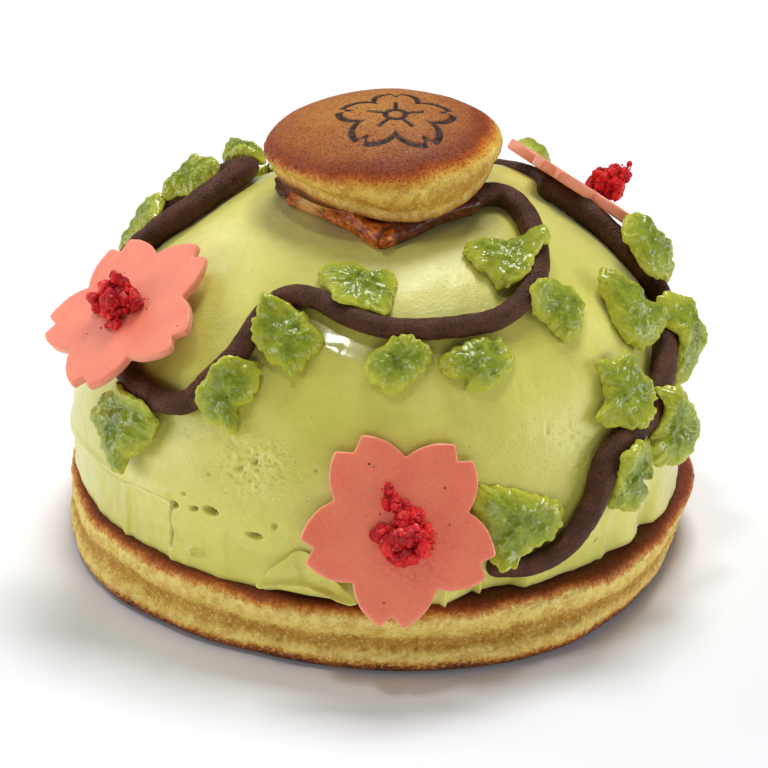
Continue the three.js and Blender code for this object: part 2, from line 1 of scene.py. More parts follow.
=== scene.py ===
# %% [markdown]
# # A matcha cream dome cake, dressed for its portrait
#
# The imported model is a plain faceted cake: a pancake base, a dome of matcha cream, a mini pancake cap
# on a caramelised slice, chocolate vines, leaves of green paste and cherry-blossom plaques. This file
# gives every one of those pieces its real surface. Nothing is moved: each piece here is built where
# the frame holds the solid that it stands for.

# %% Load the frame
import math

import bmesh
import bpy
import numpy as np
from mathutils import Matrix, Vector


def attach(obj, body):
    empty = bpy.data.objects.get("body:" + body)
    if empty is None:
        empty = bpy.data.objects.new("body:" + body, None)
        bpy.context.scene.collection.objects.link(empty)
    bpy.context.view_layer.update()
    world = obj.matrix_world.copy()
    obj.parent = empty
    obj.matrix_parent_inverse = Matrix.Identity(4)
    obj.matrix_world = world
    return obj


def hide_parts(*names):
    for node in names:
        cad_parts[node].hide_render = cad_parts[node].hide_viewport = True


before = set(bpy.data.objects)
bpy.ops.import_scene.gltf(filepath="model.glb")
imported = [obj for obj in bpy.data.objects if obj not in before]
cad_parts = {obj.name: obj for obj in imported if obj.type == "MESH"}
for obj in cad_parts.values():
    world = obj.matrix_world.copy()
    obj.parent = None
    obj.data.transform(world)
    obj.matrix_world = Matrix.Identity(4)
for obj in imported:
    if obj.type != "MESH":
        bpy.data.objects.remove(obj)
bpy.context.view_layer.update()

MM = 0.001


# %% [markdown]
# ## The camera first
#
# The cake is seen from a little above, from close by and through a long lens, so its base is a flat
# ellipse. The place and the lens below come from matching the base's ellipse and the dome's outline.
# The camera is rolled a touch clockwise, and its picture is shifted by two pixels.

# %% Camera
PICTURE = 768  # pixels across
FOCAL_PIXELS = 2956
SENSOR = 36  # millimetres across
DISTANCE = 0.4
ELEVATION = math.radians(26.1)
ROLL = math.radians(1.7)
LOOKS_AT = Vector((0, 0, 0.020))
PICTURE_SHIFT = 1.9  # pixels, to the right and downwards

away = Vector((0, -math.cos(ELEVATION), math.sin(ELEVATION)))
level = Vector((1, 0, 0))
upward = away.cross(level)
right = level * math.cos(ROLL) + upward * math.sin(ROLL)
top = upward * math.cos(ROLL) - level * math.sin(ROLL)

lens = bpy.data.cameras.new("camera")
lens.sensor_width = SENSOR
lens.lens = FOCAL_PIXELS / PICTURE * SENSOR
lens.shift_x = PICTURE_SHIFT / PICTURE
lens.shift_y = -PICTURE_SHIFT / PICTURE
lens.clip_start = 0.01
lens.clip_end = 20
camera = bpy.data.objects.new("camera", lens)
turned = Matrix((right, top, away)).transposed().to_4x4()
camera.matrix_world = Matrix.Translation(LOOKS_AT + away * DISTANCE) @ turned
bpy.context.scene.collection.objects.link(camera)
bpy.context.scene.camera = camera
print("lens", round(lens.lens, 1), "mm from", round(DISTANCE / MM), "mm")

# %% [markdown]
# ## Numbers that behave like dough
#
# Food is never even, and a modeller's tools for that are noises: smooth ripples, and cells that look
# like pebbles or bubbles. Blender has both as textures, but a shape needs them as numbers that can be
# added up with other shapes, so they are written here once, for whole arrays of points at a time.
# They start from a shuffle that gives every whole-numbered place in space the same number each run.

# %% Noise for shapes
def shuffle(cells, seed):
    """A repeatable number from 0 to 1 for each whole-numbered place in space."""
    x, y, z = (cells[..., i].astype(np.int64) for i in range(3))
    n = (x * 73856093) ^ (y * 19349663) ^ (z * 83492791) ^ (seed * 668265263)
    n = ((n ^ (n >> 13)) * 1274126177) & 0x7FFFFFFF
    n = ((n ^ (n >> 15)) * 1911520717) & 0x7FFFFFFF
    return (n ^ (n >> 13)) / 0x7FFFFFFF


def ripple(points, size, seed=0):
    """Smooth noise from -1 to 1 whose waves are about `size` across."""
    place = points / size
    cell = np.floor(place)
    part = place - cell
    part = part**3 * (part * (6 * part - 15) + 10)
    total = 0
    for corner in np.ndindex(2, 2, 2):
        weight = np.prod(np.where(corner, part, 1 - part), axis=-1)
        total = total + weight * shuffle(cell + np.array(corner), seed)
    return total * 2 - 1


def grain(points, size, seed=0, octaves=3):
    """Ripples with finer ripples on them."""
    layers = [ripple(points * 1.97**k, size, seed + k) / 1.9**k for k in range(octaves)]
    return sum(layers) / 1.4


def pebbles(points, size, seed=0):
    """Rounded lumps: 1 on top of a lump and 0 far from any."""
    place = points / size
    cell = np.floor(place)
    nearest = np.full(place.shape[:-1], 9.0)
    for step in np.ndindex(3, 3, 3):
        neighbour = cell + np.array(step) - 1
        middle = neighbour + np.stack([shuffle(neighbour, seed + axis) for axis in range(3)], -1)
        nearest = np.minimum(nearest, np.sum((place - middle) ** 2, -1))
    return 1 - np.clip(nearest, 0, 1)


def smoothstep(value, low, high):
    """0 up to `low`, 1 from `high` on, and a smooth rise between."""
    share = np.clip((value - low) / (high - low), 0, 1)
    return share * share * (3 - 2 * share)


def between(value, start, full, fading, end):
    """0 up to `start`, 1 from `full` to `fading`, and 0 again from `end`."""
    return smoothstep(value, start, full) * (1 - smoothstep(value, fading, end))


def bell(value, width):
    """1 where the value is 0, fading smoothly over `width` to both sides."""
    return np.exp(-((value / width) ** 2))


def bump(angle, middle, width):
    """A bell round `middle`, for angles in degrees that wrap round."""
    return bell((angle - middle + 540) % 360 - 180, width)


def extended(points, *numbers):
    """The points with the same further numbers after each, to look noise up in space."""
    return np.column_stack([points, *(np.full(len(points), float(number)) for number in numbers)])


sample = np.random.default_rng(1).uniform(-50, 50, (4000, 3))
print(f"ripple spreads {ripple(sample, 4).std():.2f}, pebbles mean {pebbles(sample, 4).mean():.2f}")

# %% [markdown]
# ## From rings of points to a closed skin
#
# Most of these pieces are closed skins that can be drawn as rings: a lathe turns a profile into
# rings, a leaf is rings from its middle out to its rim and back underneath, and a vine is rings along
# its path. One function turns any stack of rings into a mesh, with a point to close each end. It also
# makes sure that the faces look outward, which light and volume both depend on.

# %% Meshes from rings
def ring_faces(rows, columns, first, last):
    index = np.arange(rows * columns).reshape(rows, columns)
    beside = np.roll(index, -1, axis=1)
    quads = np.stack([index[:-1], beside[:-1], beside[1:], index[1:]], -1).reshape(-1, 4)
    start = np.stack([np.full(columns, first), beside[0], index[0]], -1)
    end = np.stack([np.full(columns, last), index[-1], beside[-1]], -1)
    return quads, start, end


def volume_of(points, triangles):
    a, b, c = (points[triangles[:, i]] for i in range(3))
    return np.einsum("ij,ij->i", a, np.cross(b, c)).sum() / 6


def skin(name, rings):
    """A closed mesh, in metres, over rings [row, column, xyz] given in millimetres."""
    rows, columns, _ = rings.shape
    first, last = rows * columns, rows * columns + 1
    points = np.vstack([rings.reshape(-1, 3), rings[0].mean(0), rings[-1].mean(0)])
    quads, start, end = ring_faces(rows, columns, first, last)
    triangles = np.vstack([quads[:, [0, 1, 2]], quads[:, [0, 2, 3]], start, end])
    outward = volume_of(points - points.mean(0), triangles) > 0
    faces = [*quads.tolist(), *start.tolist(), *end.tolist()]
    if not outward:
        faces = [face[::-1] for face in faces]
    mesh = bpy.data.meshes.new(name)
    mesh.from_pydata((points * MM).tolist(), [], faces)
    mesh.update()
    return mesh


def read_points(mesh, what="co"):
    values = np.empty(len(mesh.vertices) * 3)
    mesh.vertices.foreach_get(what, values)
    return values.reshape(-1, 3)


def roughen(mesh, height):
    """Moves each point along its normal by height(points), everything in millimetres."""
    points = read_points(mesh) / MM
    normals = read_points(mesh, "normal")
    moved = points + normals * height(points)[:, None]
    mesh.vertices.foreach_set("co", (moved * MM).ravel())
    mesh.update()


def with_poles(values):
    """A grid of ring values as the flat list that skin() makes, its two end points last."""
    return np.concatenate([values.ravel(), [values[0].mean(), values[-1].mean()]])


def paint(mesh, **marks):
    """Stores one number for each point, or each place in the rings, under each mark's name."""
    for name, values in marks.items():
        layer = mesh.attributes.new(name, "FLOAT", "POINT")
        flat = with_poles(values) if values.ndim > 1 else values
        layer.data.foreach_set("value", flat.astype(np.float32))


pieces = []


def serve(mesh, finish, slot, *nodes, smooth=True):
    """Puts a finished mesh on the cake, in place of the solids that it stands for."""
    mesh.materials.append(finish.material)
    mesh.polygons.foreach_set("use_smooth", np.full(len(mesh.polygons), smooth))
    piece = bpy.data.objects.new(mesh.name, mesh)
    bpy.context.scene.collection.objects.link(piece)
    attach(piece, "root")
    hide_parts(*nodes)
    pieces.append(piece)
    print(mesh.name, "faces", len(mesh.polygons))
    return piece


# %% [markdown]
# ## Finishes in plain words
#
# A finish in Blender is a graph of nodes, and a long graph is easier to read as sentences. This small
# class holds one material and adds nodes by what they do: noise, cells, a ramp of colours, a tint.
# Every size is given in millimetres. Colours are given as a screen shows them, from 0 to 255, and
# turned into the linear light that the renderer works in.

# %% Finish helper
def light_of(red, green, blue):
    """A screen colour from 0 to 255 as linear light."""
    parts = [v / 255 for v in (red, green, blue)]
    return (*(v / 12.92 if v <= 0.04045 else ((v + 0.055) / 1.055) ** 2.4 for v in parts), 1.0)


class Finish:
    """One material, told in sentences: each adds the nodes that do what it says."""

    def __init__(self, name, **settings):
        self.material = bpy.data.materials.new(name)
        self.material.use_nodes = True
        self.tree = self.material.node_tree
        self.shader = self.tree.nodes["Principled BSDF"]
        self.place = self.add("ShaderNodeTexCoord").outputs["Object"]
        for socket, value in settings.items():
            self.shader.inputs[socket.replace("_", " ")].default_value = value

    def add(self, kind, **settings):
        node = self.tree.nodes.new(kind)
        for key, value in settings.items():
            setattr(node, key, value)
        return node

    def feed(self, socket, value):
        if isinstance(value, bpy.types.NodeSocket):
            self.tree.links.new(value, socket)
        else:
            socket.default_value = value

    def texture(self, kind, size, stretch):
        """A pattern with features about `size` across, pressed or drawn out along each axis."""
        node, place = self.add(kind), self.place
        if stretch:
            mapping = self.add("ShaderNodeMapping")
            self.feed(mapping.inputs["Vector"], place)
            mapping.inputs["Scale"].default_value = stretch
            place = mapping.outputs["Vector"]
        self.feed(node.inputs["Vector"], place)
        node.inputs["Scale"].default_value = 1 / (size * MM)
        return node

    def noise(self, size, detail=3.0, rough=0.5, stretch=None, swirl=0.0):
        node = self.texture("ShaderNodeTexNoise", size, stretch)
        for socket, value in (("Detail", detail), ("Roughness", rough), ("Distortion", swirl)):
            node.inputs[socket].default_value = value
        return node.outputs["Fac"]

    def cells(self, size, *spread):
        """The distance to the nearest of many scattered points, spread."""
        return self.spread(self.texture("ShaderNodeTexVoronoi", size, None).outputs["Distance"], *spread)

    def near(self, point, radius, core=0.6):
        """1 close to a point, fading out between two shares of a radius in millimetres."""
        node = self.add("ShaderNodeVectorMath", operation="DISTANCE")
        self.feed(node.inputs[0], self.place)
        node.inputs[1].default_value = [v * MM for v in point]
        return self.spread(node.outputs["Value"], radius * MM, radius * MM * core)

    def attribute(self, name):
        return self.add("ShaderNodeAttribute", attribute_name=name).outputs["Fac"]

    def maths(self, operation, a, b=0.0, c=0.0):
        node = self.add("ShaderNodeMath", operation=operation)
        for socket, value in zip(node.inputs, (a, b, c)):
            self.feed(socket, value)
        return node.outputs[0]

    def spread(self, value, low, high, to_low=0.0, to_high=1.0):
        node = self.add("ShaderNodeMapRange")
        for socket, number in zip(node.inputs, (value, low, high, to_low, to_high)):
            self.feed(socket, number)
        return node.outputs[0]

    def patches(self, size, detail, *spread, **noise):
        """Noise, spread so that the first of two levels gives 0 and the second 1."""
        return self.spread(self.noise(size, detail, **noise), *spread)

    def times(self, a, b):
        return self.maths("MULTIPLY", a, b)

    def plus(self, a, b):
        return self.maths("ADD", a, b)

    def ramp(self, factor, *stops):
        """Colours along a factor: each stop is its place and a screen colour."""
        node = self.add("ShaderNodeValToRGB")
        elements = node.color_ramp.elements
        for element, (at, *colour) in zip((elements[0], elements[-1]), (stops[0], stops[-1])):
            element.position, element.color = at, light_of(*colour)
        for at, *colour in stops[1:-1]:
            elements.new(at).color = light_of(*colour)
        self.feed(node.inputs["Fac"], factor)
        return node.outputs["Color"]

    def mix(self, factor, a, b, blend="MIX"):
        node = self.add("ShaderNodeMix", data_type="RGBA", blend_type=blend)
        self.feed(node.inputs[0], factor)
        self.feed(node.inputs[6], a)
        self.feed(node.inputs[7], b)
        return node.outputs[2]

    def tint(self, tone, mask, strength, colour, blend="MIX"):
        """Mixes a screen colour in where the mask says, up to a strength."""
        return self.mix(self.times(mask, strength), tone, light_of(*colour), blend)

    def relief(self, height, depth, strength=1.0):
        """Fine relief, `depth` millimetres deep, for light alone."""
        node = self.add("ShaderNodeBump")
        node.inputs["Strength"].default_value = strength
        node.inputs["Distance"].default_value = depth * MM
        self.feed(node.inputs["Height"], height)
        self.feed(self.shader.inputs["Normal"], node.outputs["Normal"])

    def colour(self, value):
        self.feed(self.shader.inputs["Base Color"], value)

    def roughness(self, size, low, high, smooth, rough):
        """Roughness that wanders between two values in patches of one size."""
        self.feed(self.shader.inputs["Roughness"], self.patches(size, 3, low, high, smooth, rough))


print("a middle grey is", round(light_of(128, 128, 128)[0], 3), "as linear light")

# %% [markdown]
# ## A white set
#
# The cake stands on a white sheet that reaches far out of the picture. A window light high up behind
# it bleaches the sheet and throws the cake's own soft shadow forward. A weaker window on the left fills
# that side, and a small light above draws the crisp glints on wet cream and paste. The flanks are as
# pale as the top, yet the floor in front stays in shadow. So the lights that lift them stand low, close
# to the floor, which they only graze.

# %% Floor and light
ROOM_TINT, ROOM_LIGHT = (0.88, 0.93, 1.0, 1.0), 0.10
REACH = 3.0  # metres from the middle to the sheet's edge
LIGHTS = {
    # place and size in metres, watts
    "window behind": ((0.10, 0.40, 0.91), (0.40, 0.36), 7.6),
    "left window": ((-0.66, 0.54, 0.54), (0.6, 0.5), 2.0),
    "glint": ((-0.155, -0.12, 0.755), (0.11, 0.055), 1.0),
    "low left": ((-0.90, -0.15, 0.13), (0.8, 0.24), 3.3),
    "low right": ((0.90, -0.08, 0.13), (0.8, 0.24), 3.5),
    "low front": ((0.05, -0.98, 0.13), (1.0, 0.24), 2.5),
}
scene = bpy.context.scene
scene.view_settings.view_transform = "Standard"
scene.view_settings.look = "None"

world = bpy.data.worlds.new("white room")
world.use_nodes = True
background = world.node_tree.nodes["Background"]
background.inputs["Color"].default_value = ROOM_TINT
background.inputs["Strength"].default_value = ROOM_LIGHT
scene.world = world

floor_mesh = bpy.data.meshes.new("floor")
floor_mesh.from_pydata([(x, y, 0) for x, y in ((-1, -1), (1, -1), (1, 1), (-1, 1))], [], [(0, 1, 2, 3)])
floor_mesh.transform(Matrix.Scale(REACH, 4))
floor = bpy.data.objects.new("floor", floor_mesh)
scene.collection.objects.link(floor)
paper = Finish("white_paper", Roughness=0.6)
paper.colour(light_of(243, 244, 248))
floor_mesh.materials.append(paper.material)

for name, (place, size, watts) in LIGHTS.items():
    light = bpy.data.lights.new(name, "AREA")
    light.shape = "RECTANGLE"
    light.size, light.size_y = size
    light.energy = watts
    box = bpy.data.objects.new(name, light)
    box.location = place
    box.rotation_euler = (Vector(place) - LOOKS_AT).to_track_quat("Z", "Y").to_euler()
    scene.collection.objects.link(box)
print("lights", [light.name for light in bpy.data.lights])

# %% [markdown]
# ## Where things are on a dome
#
# Everything on this cake sits on the cream, so a place is given as on a globe: a bearing, in degrees
# from the front towards the right, and a polar angle, in degrees down from the top. The dome is a
# superellipse, a little squarer in the shoulder than an ellipse, that leans slightly and is pressed
# flat on top by the cap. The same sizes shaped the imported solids.

# %% The dome's surface
BASE_HEIGHT = 9
DOME_RADIUS = 41.3
DOME_HEIGHT = 39.6
DOME_POWER = 2.3
DOME_SHIFT = -1.1
DOME_LEAN = 1.7
CROWN_HEIGHT = 46.75
CROWN_TILT = math.radians(3.9)
CROWN_PRESS = 0.15
CROWN_UP = np.array([-math.sin(CROWN_TILT), 0, math.cos(CROWN_TILT)])
CROWN_MIDDLE = np.array([DOME_SHIFT + DOME_LEAN, 0, CROWN_HEIGHT])


def dome_reach(polar):
    across = np.abs(np.sin(polar) / DOME_RADIUS) ** DOME_POWER
    up = np.abs(np.cos(polar) / DOME_HEIGHT) ** DOME_POWER
    return (across + up) ** (-1 / DOME_POWER)


def dome_normal(bearing, polar):
    b, p = np.radians(bearing), np.radians(polar)
    across = np.abs(np.sin(p)) ** (DOME_POWER - 1) / DOME_RADIUS**DOME_POWER
    up = np.maximum(np.cos(p), 0) ** (DOME_POWER - 1) / DOME_HEIGHT**DOME_POWER
    normal = np.stack([across * np.sin(b), -across * np.cos(b), up + 0 * across], -1)
    return normal / np.linalg.norm(normal, axis=-1, keepdims=True)


def dome_point(bearing, polar, lift=0.0):
    """Points `lift` above the cream, for arrays of bearings and polar angles in degrees."""
    bearing, polar, lift = np.broadcast_arrays(*(np.asarray(v, float) for v in (bearing, polar, lift)))
    b, p = np.radians(bearing), np.radians(polar)
    reach = dome_reach(p)
    out, rise = reach * np.sin(p), reach * np.cos(p)
    sideways = DOME_SHIFT + DOME_LEAN * rise / DOME_HEIGHT
    point = np.stack([out * np.sin(b) + sideways, -out * np.cos(b), BASE_HEIGHT + rise], -1)
    above = np.maximum((point - CROWN_MIDDLE) @ CROWN_UP, 0)
    point = point + (above * (CROWN_PRESS - 1))[..., None] * CROWN_UP
    return point + dome_normal(bearing, polar) * lift[..., None]


def dome_place(point):
    """The bearing, polar angle and lift of points near the dome."""
    rise = point[..., 2] - BASE_HEIGHT
    x = point[..., 0] - DOME_SHIFT - DOME_LEAN * np.clip(rise / DOME_HEIGHT, 0, 1)
    out = np.hypot(x, point[..., 1])
    polar = np.arctan2(out, rise)
    lift = np.hypot(out, rise) - dome_reach(np.minimum(polar, math.pi / 2))
    return np.degrees(np.arctan2(x, -point[..., 1])), np.degrees(polar), lift


def cos_sin(degrees):
    return math.cos(math.radians(degrees)), math.sin(math.radians(degrees))


def facing_axes(bearing, elevation):
    """Unit vectors of a plane whose front faces a bearing and an elevation: sideways, upwards, out."""
    (cos_b, sin_b), (cos_e, sin_e) = cos_sin(bearing), cos_sin(elevation)
    side = np.array([cos_b, sin_b, 0])
    out = np.array([sin_b * cos_e, -cos_b * cos_e, sin_e])
    return side, np.cross(out, side), out


top_of, foot_of = dome_point(0, [0, 90])[:, 2]
print(f"top of the cream {top_of:.1f} mm, its foot {foot_of:.1f} mm")

# %% [markdown]
# ## The cream
#
# The dome was coated with matcha cream and smoothed with a palette knife. Close to, it is anything but
# perfect: low on the left an upper layer ends in a seam above a thinner patch, with a crack and small
# holes where it closed badly; at the front a lip of cream has curled off the base; and the lower edge
# runs in and out along the pancake, with a few thin tails that the knife drew. Those are all shallow
# shapes on a known surface, so the dome is one grid of points, finest where the detail is, that is
# pushed in and out along its normal.

# %% Grid of the dome
FINE_BEARINGS = (-84, 72)  # the front, where the relief shows
FINE_COLUMNS = 400
PLAIN_COLUMNS = 90
FIRST_POLAR = 0.7
FINE_POLAR = 62
FINE_ROWS = 118
PLAIN_ROWS = 50

fine = np.linspace(*FINE_BEARINGS, FINE_COLUMNS, endpoint=False)
plain = np.linspace(FINE_BEARINGS[1], FINE_BEARINGS[0] + 360, PLAIN_COLUMNS, endpoint=False)
bearings = np.concatenate([fine, plain])
bearings = np.where(bearings > 180, bearings - 360, bearings)
upper = np.linspace(FIRST_POLAR, FINE_POLAR, PLAIN_ROWS, endpoint=False)
polars = np.concatenate([upper, np.linspace(FINE_POLAR, 90, FINE_ROWS)])
polar_grid, bearing_grid = np.meshgrid(polars, bearings, indexing="ij")
print("dome grid", polar_grid.shape)

# %% [markdown]
# A mark on the cream is drawn as a line or a spot in bearing and polar angle. Near the foot of the
# dome one degree is about 0.7 mm both ways, so distances there can be measured in degrees as on paper.

# %% Marks on the cream
DEGREE = 0.72  # millimetres, low on the dome


def line_distance(bearing, polar, stops):
    """Millimetres from a line through the stops."""
    nearest = np.full(bearing.shape, 99.0)
    for (b0, p0), (b1, p1) in zip(stops[:-1], stops[1:]):
        along_b, along_p = b1 - b0, p1 - p0
        share = ((bearing - b0) * along_b + (polar - p0) * along_p) / (along_b**2 + along_p**2)
        share = np.clip(share, 0, 1)
        away_b, away_p = bearing - b0 - share * along_b, polar - p0 - share * along_p
        nearest = np.minimum(nearest, np.hypot(away_b, away_p) * DEGREE)
    return nearest


def spot(bearing, polar, middle, size, turn=0.0):
    """1 in the middle of an oval of that size, in millimetres, and 0 outside it."""
    b, p = (bearing - middle[0]) * DEGREE, (polar - middle[1]) * DEGREE
    c, s = cos_sin(turn)
    away_from = np.hypot((b * c + p * s) / size[0], (p * c - b * s) / size[1])
    return 1 - smoothstep(away_from, 0.35, 1.0)


def patch(bearing, polar, middle, size):
    """1 in the middle of a wide, soft patch, whose size is in degrees too."""
    return np.exp(-(((bearing - middle[0]) / size[0]) ** 2 + ((polar - middle[1]) / size[1]) ** 2))


SEAM = [(-80, 82.5), (-73, 81.2), (-65, 80.6), (-58, 79.8), (-50, 78.6), (-44, 78), (-38.5, 78)]
CRACK = [(-38.8, 78.6), (-39.4, 81), (-38.9, 84), (-39.3, 87)]
LEDGE = [(-17, 45.5), (-10, 47), (-4, 48)]  # where the knife stopped, below the front vine
SCRAP = ((-33.5, 86.2), (1.7, 0.8), -12)  # a loose scrap beside the crack: middle, size, turn
BACK_BED = ((130, 34), (18, 6))  # thicker cream that the back vine lies on
TORN_PATCH = ((-22, 67), (6.5, 5))  # where air bubbles broke under the knife
GRAZED_PATCH = ((32, 64), (12, 8))
WET_PATCH = ((-12, 44), (9, 6))
HOLES = [
    # bearing, polar, half length, half height, turn, depth
    (-38.2, 78.2, 0.9, 0.6, 0, 1.2),
    (-33.6, 77.4, 0.9, 0.45, -10, 0.9),
    (-30.0, 76.8, 1.4, 0.65, 8, 1.6),
    (-21.0, 79.2, 1.5, 0.5, 3, 1.0),
    (-17.3, 76.6, 0.5, 0.7, 0, 0.5),
    (-36.2, 75.4, 0.6, 0.3, 20, 0.4),
    (-25.5, 68.0, 0.7, 0.5, 10, 0.35),
    (-22.8, 66.4, 0.5, 0.6, 0, 0.45),
    (-31.5, 70.5, 0.5, 0.25, 30, 0.25),
    (45.0, 85.2, 0.5, 0.45, 0, 0.6),
    (-11.0, 66.0, 0.35, 0.3, 0, 0.35),
    (34.0, 62.0, 0.3, 0.25, 0, 0.25),
    (-58.0, 72.0, 0.3, 0.25, 0, 0.25),
]
print(len(HOLES), "holes in the cream")

# %% [markdown]
# The lower edge was never trimmed. How far it stands from the middle is given as a short table of
# bearings and radii, and a few narrow tails are set on it.

# %% Lower edge
EDGE = [
    # bearing, radius of the cream's lower edge in millimetres
    (-180, 41.3), (-140, 41.0), (-110, 41.3), (-92, 40.8), (-79, 40.7), (-67, 40.6), (-56, 40.5),
    (-45, 40.1), (-36, 39.8), (-28, 39.8), (-21, 39.7), (-17, 40.2), (-12, 40.9), (-6, 41.2), (3, 41.3),
    (11, 41.2), (14, 41.2), (16.6, 40.6), (20, 39.6), (24, 39.3), (27, 39.8), (29.5, 41.0), (33.7, 41.0),
    (39.7, 40.7), (46.3, 40.5), (50, 40.1), (53.5, 40.9), (55.5, 41.3), (57.5, 40.9), (60, 39.9),
    (63, 39.9), (65.3, 41.2), (70, 41.4), (76, 41.5), (91, 41.6), (120, 41.1), (150, 41.4), (180, 41.3),
]
TAILS = [
    # bearing, length in millimetres, half width in degrees
    (13.4, 0.9, 0.45), (20.4, 1.1, 0.5), (28.8, 0.5, 0.9), (-2.5, 0.7, 0.7), (47.5, 0.4, 0.9),
    (-52, 0.4, 0.9),
]
LIFTED = (-20, 4)  # bearings between which a curl of cream hangs above the pancake

lip_of = between(bearings, LIFTED[0], LIFTED[0] + 6, LIFTED[1] - 4, LIFTED[1])
ragged = extended(bearings, 0, 0)
edge_of = np.interp(bearings, *np.array(EDGE).T)
edge_of = edge_of + 0.10 * ripple(ragged, 3.1, 46) + 0.06 * ripple(ragged, 1.3, 47)
for middle, reach, width in TAILS:
    edge_of = edge_of + reach * bell(bearings - middle, width)
print("edge from", round(float(edge_of.min()), 1), "to", round(float(edge_of.max()), 1), "mm")

# %% Cream relief
def cream_relief(bearing, polar, place):
    """How far the cream stands out from the plain dome, in millimetres."""
    height = 0.30 * grain(place, 17, 3, 2) + 0.06 * grain(place, 3.4, 5, 2)
    wobble = 0.6 * ripple(place, 5, 8)

    # The upper layer ends at the seam, in a soft ridge and a groove.
    seam_at = np.interp(bearing, *np.array(SEAM).T) + 0.25 * wobble
    left_patch = between(bearing, -100, -78, -40.2, -39.2)
    height -= 0.55 * left_patch * smoothstep(polar, seam_at - 0.2, seam_at + 0.3)
    height += 0.30 * left_patch * bell(polar - seam_at + 1.0, 0.9)
    height -= 0.35 * bell(line_distance(bearing, polar, SEAM[1:]), 0.3)
    height -= 0.80 * bell(line_distance(bearing + 0.25 * wobble, polar, CRACK), 0.24)
    for *middle, long, tall, turn, depth in HOLES:
        height -= depth * spot(bearing + 0.3 * wobble, polar + 0.2 * wobble, middle, (long, tall), turn)

    # Fine pits are scattered over the flanks, and crowd where the surface was torn.
    torn = patch(bearing, polar, *TORN_PATCH)
    height += torn * 0.16 * grain(place, 0.8, 12, 2)
    height -= torn * 0.25 * smoothstep(pebbles(place, 0.8, 33), 0.86, 0.97)
    pits = smoothstep(pebbles(place, 1.0, 31), 0.84, 0.98)
    height -= 0.13 * pits * smoothstep(ripple(place, 6, 17), 0.25, 0.75) * smoothstep(polar, 40, 60)
    height += 0.035 * grain(place, 0.7, 19, 2) * smoothstep(ripple(place, 9, 23), -0.3, 0.4)

    height += spot(bearing, polar, *SCRAP) * (0.8 + 0.9 * ripple(place, 0.7, 21))
    height += 1.2 * spot(bearing, polar, *BACK_BED)
    height += 0.34 * bell(line_distance(bearing, polar, LEDGE), 1.5)

    # Towards its foot the dome follows the untrimmed edge, whose very rim is rounded.
    low = smoothstep(polar, 74, 89)
    height += low * (edge_of - DOME_RADIUS)
    height += 0.16 * low * grain(place, 2.6, 41, 3)
    height -= 0.22 * smoothstep(polar, 88.8, 90) ** 2
    return height


place = dome_point(bearing_grid, polar_grid)
cream_rings = dome_point(bearing_grid, polar_grid, cream_relief(bearing_grid, polar_grid, place))
print("the relief moves points by up to", round(float(np.abs(cream_rings - place).max()), 1), "mm")

# %% Lower edge and underside
foot = BASE_HEIGHT - 0.10
hang = 0.25 * (1 + ripple(ragged, 6, 48)) * between(bearings, 8, 14, 60, 70)
foot_row = foot + 0.9 * lip_of + hang
share = smoothstep(polars, 84, 90)[:, None]
cream_rings[..., 2] += share * (foot_row - cream_rings[-1, :, 2])
cream_rings[-1, :, 2] = foot_row

# The underside turns in below the edge, so that the lip casts a real shadow on the pancake.
UNDERSIDE = ((0.45, -0.10), (1.0, 0.15), (2.2, 0.3), (3.4, 0.0))  # how far in, and how much higher
under = []
for inward, raised in UNDERSIDE:
    ring = cream_rings[-1].copy()
    outward = ring[:, :2] - np.array([DOME_SHIFT, 0])
    ring[:, :2] -= outward / np.linalg.norm(outward, axis=1, keepdims=True) * inward
    ring[:, 2] = np.where(inward > 3, foot, foot_row) + raised * lip_of
    under.append(ring)
cream_mesh = skin("matcha_cream", np.concatenate([cream_rings, np.stack(under)]))


def hollow_of(bearing, polar):
    """1 inside the holes, the crack and part of the seam, where the cream is painted darker as shade."""
    deep = bell(line_distance(bearing, polar, CRACK), 0.22)
    deep = np.maximum(deep, 0.5 * bell(line_distance(bearing, polar, SEAM[3:]), 0.25))
    for *middle, long, tall, turn, depth in HOLES:
        hole = spot(bearing, polar, middle, (long * 0.8, tall * 0.8), turn)
        deep = np.maximum(deep, min(1, depth) * hole)
    return deep


def with_underside(values):
    """A grid of values in which the rings below the edge repeat those of the edge."""
    return np.pad(values, ((0, len(under)), (0, 0)), "edge")


rough = patch(bearing_grid, polar_grid, *TORN_PATCH) * smoothstep(ripple(place, 1.6, 35), -0.2, 0.3)
rough = rough + 0.35 * patch(bearing_grid, polar_grid, *GRAZED_PATCH)
paint(
    cream_mesh,
    hollow=with_underside(hollow_of(bearing_grid, polar_grid)),
    wet=with_underside(patch(bearing_grid, polar_grid, *WET_PATCH)),
    rough=with_underside(rough),
)
print("cream", len(cream_mesh.vertices), "points")

# %% [markdown]
# Matcha cream is white cream stained by green tea powder. It is slightly mottled, with specks of tea
# that never dissolved. Fat makes it softly glossy, with a grainy sheen where air bubbles broke under
# the knife. A little light wanders through it, which subsurface scattering gives, and a thin soft coat
# lets the flanks pick up the white of the room. The coat is smoothest on one wet patch near the top.

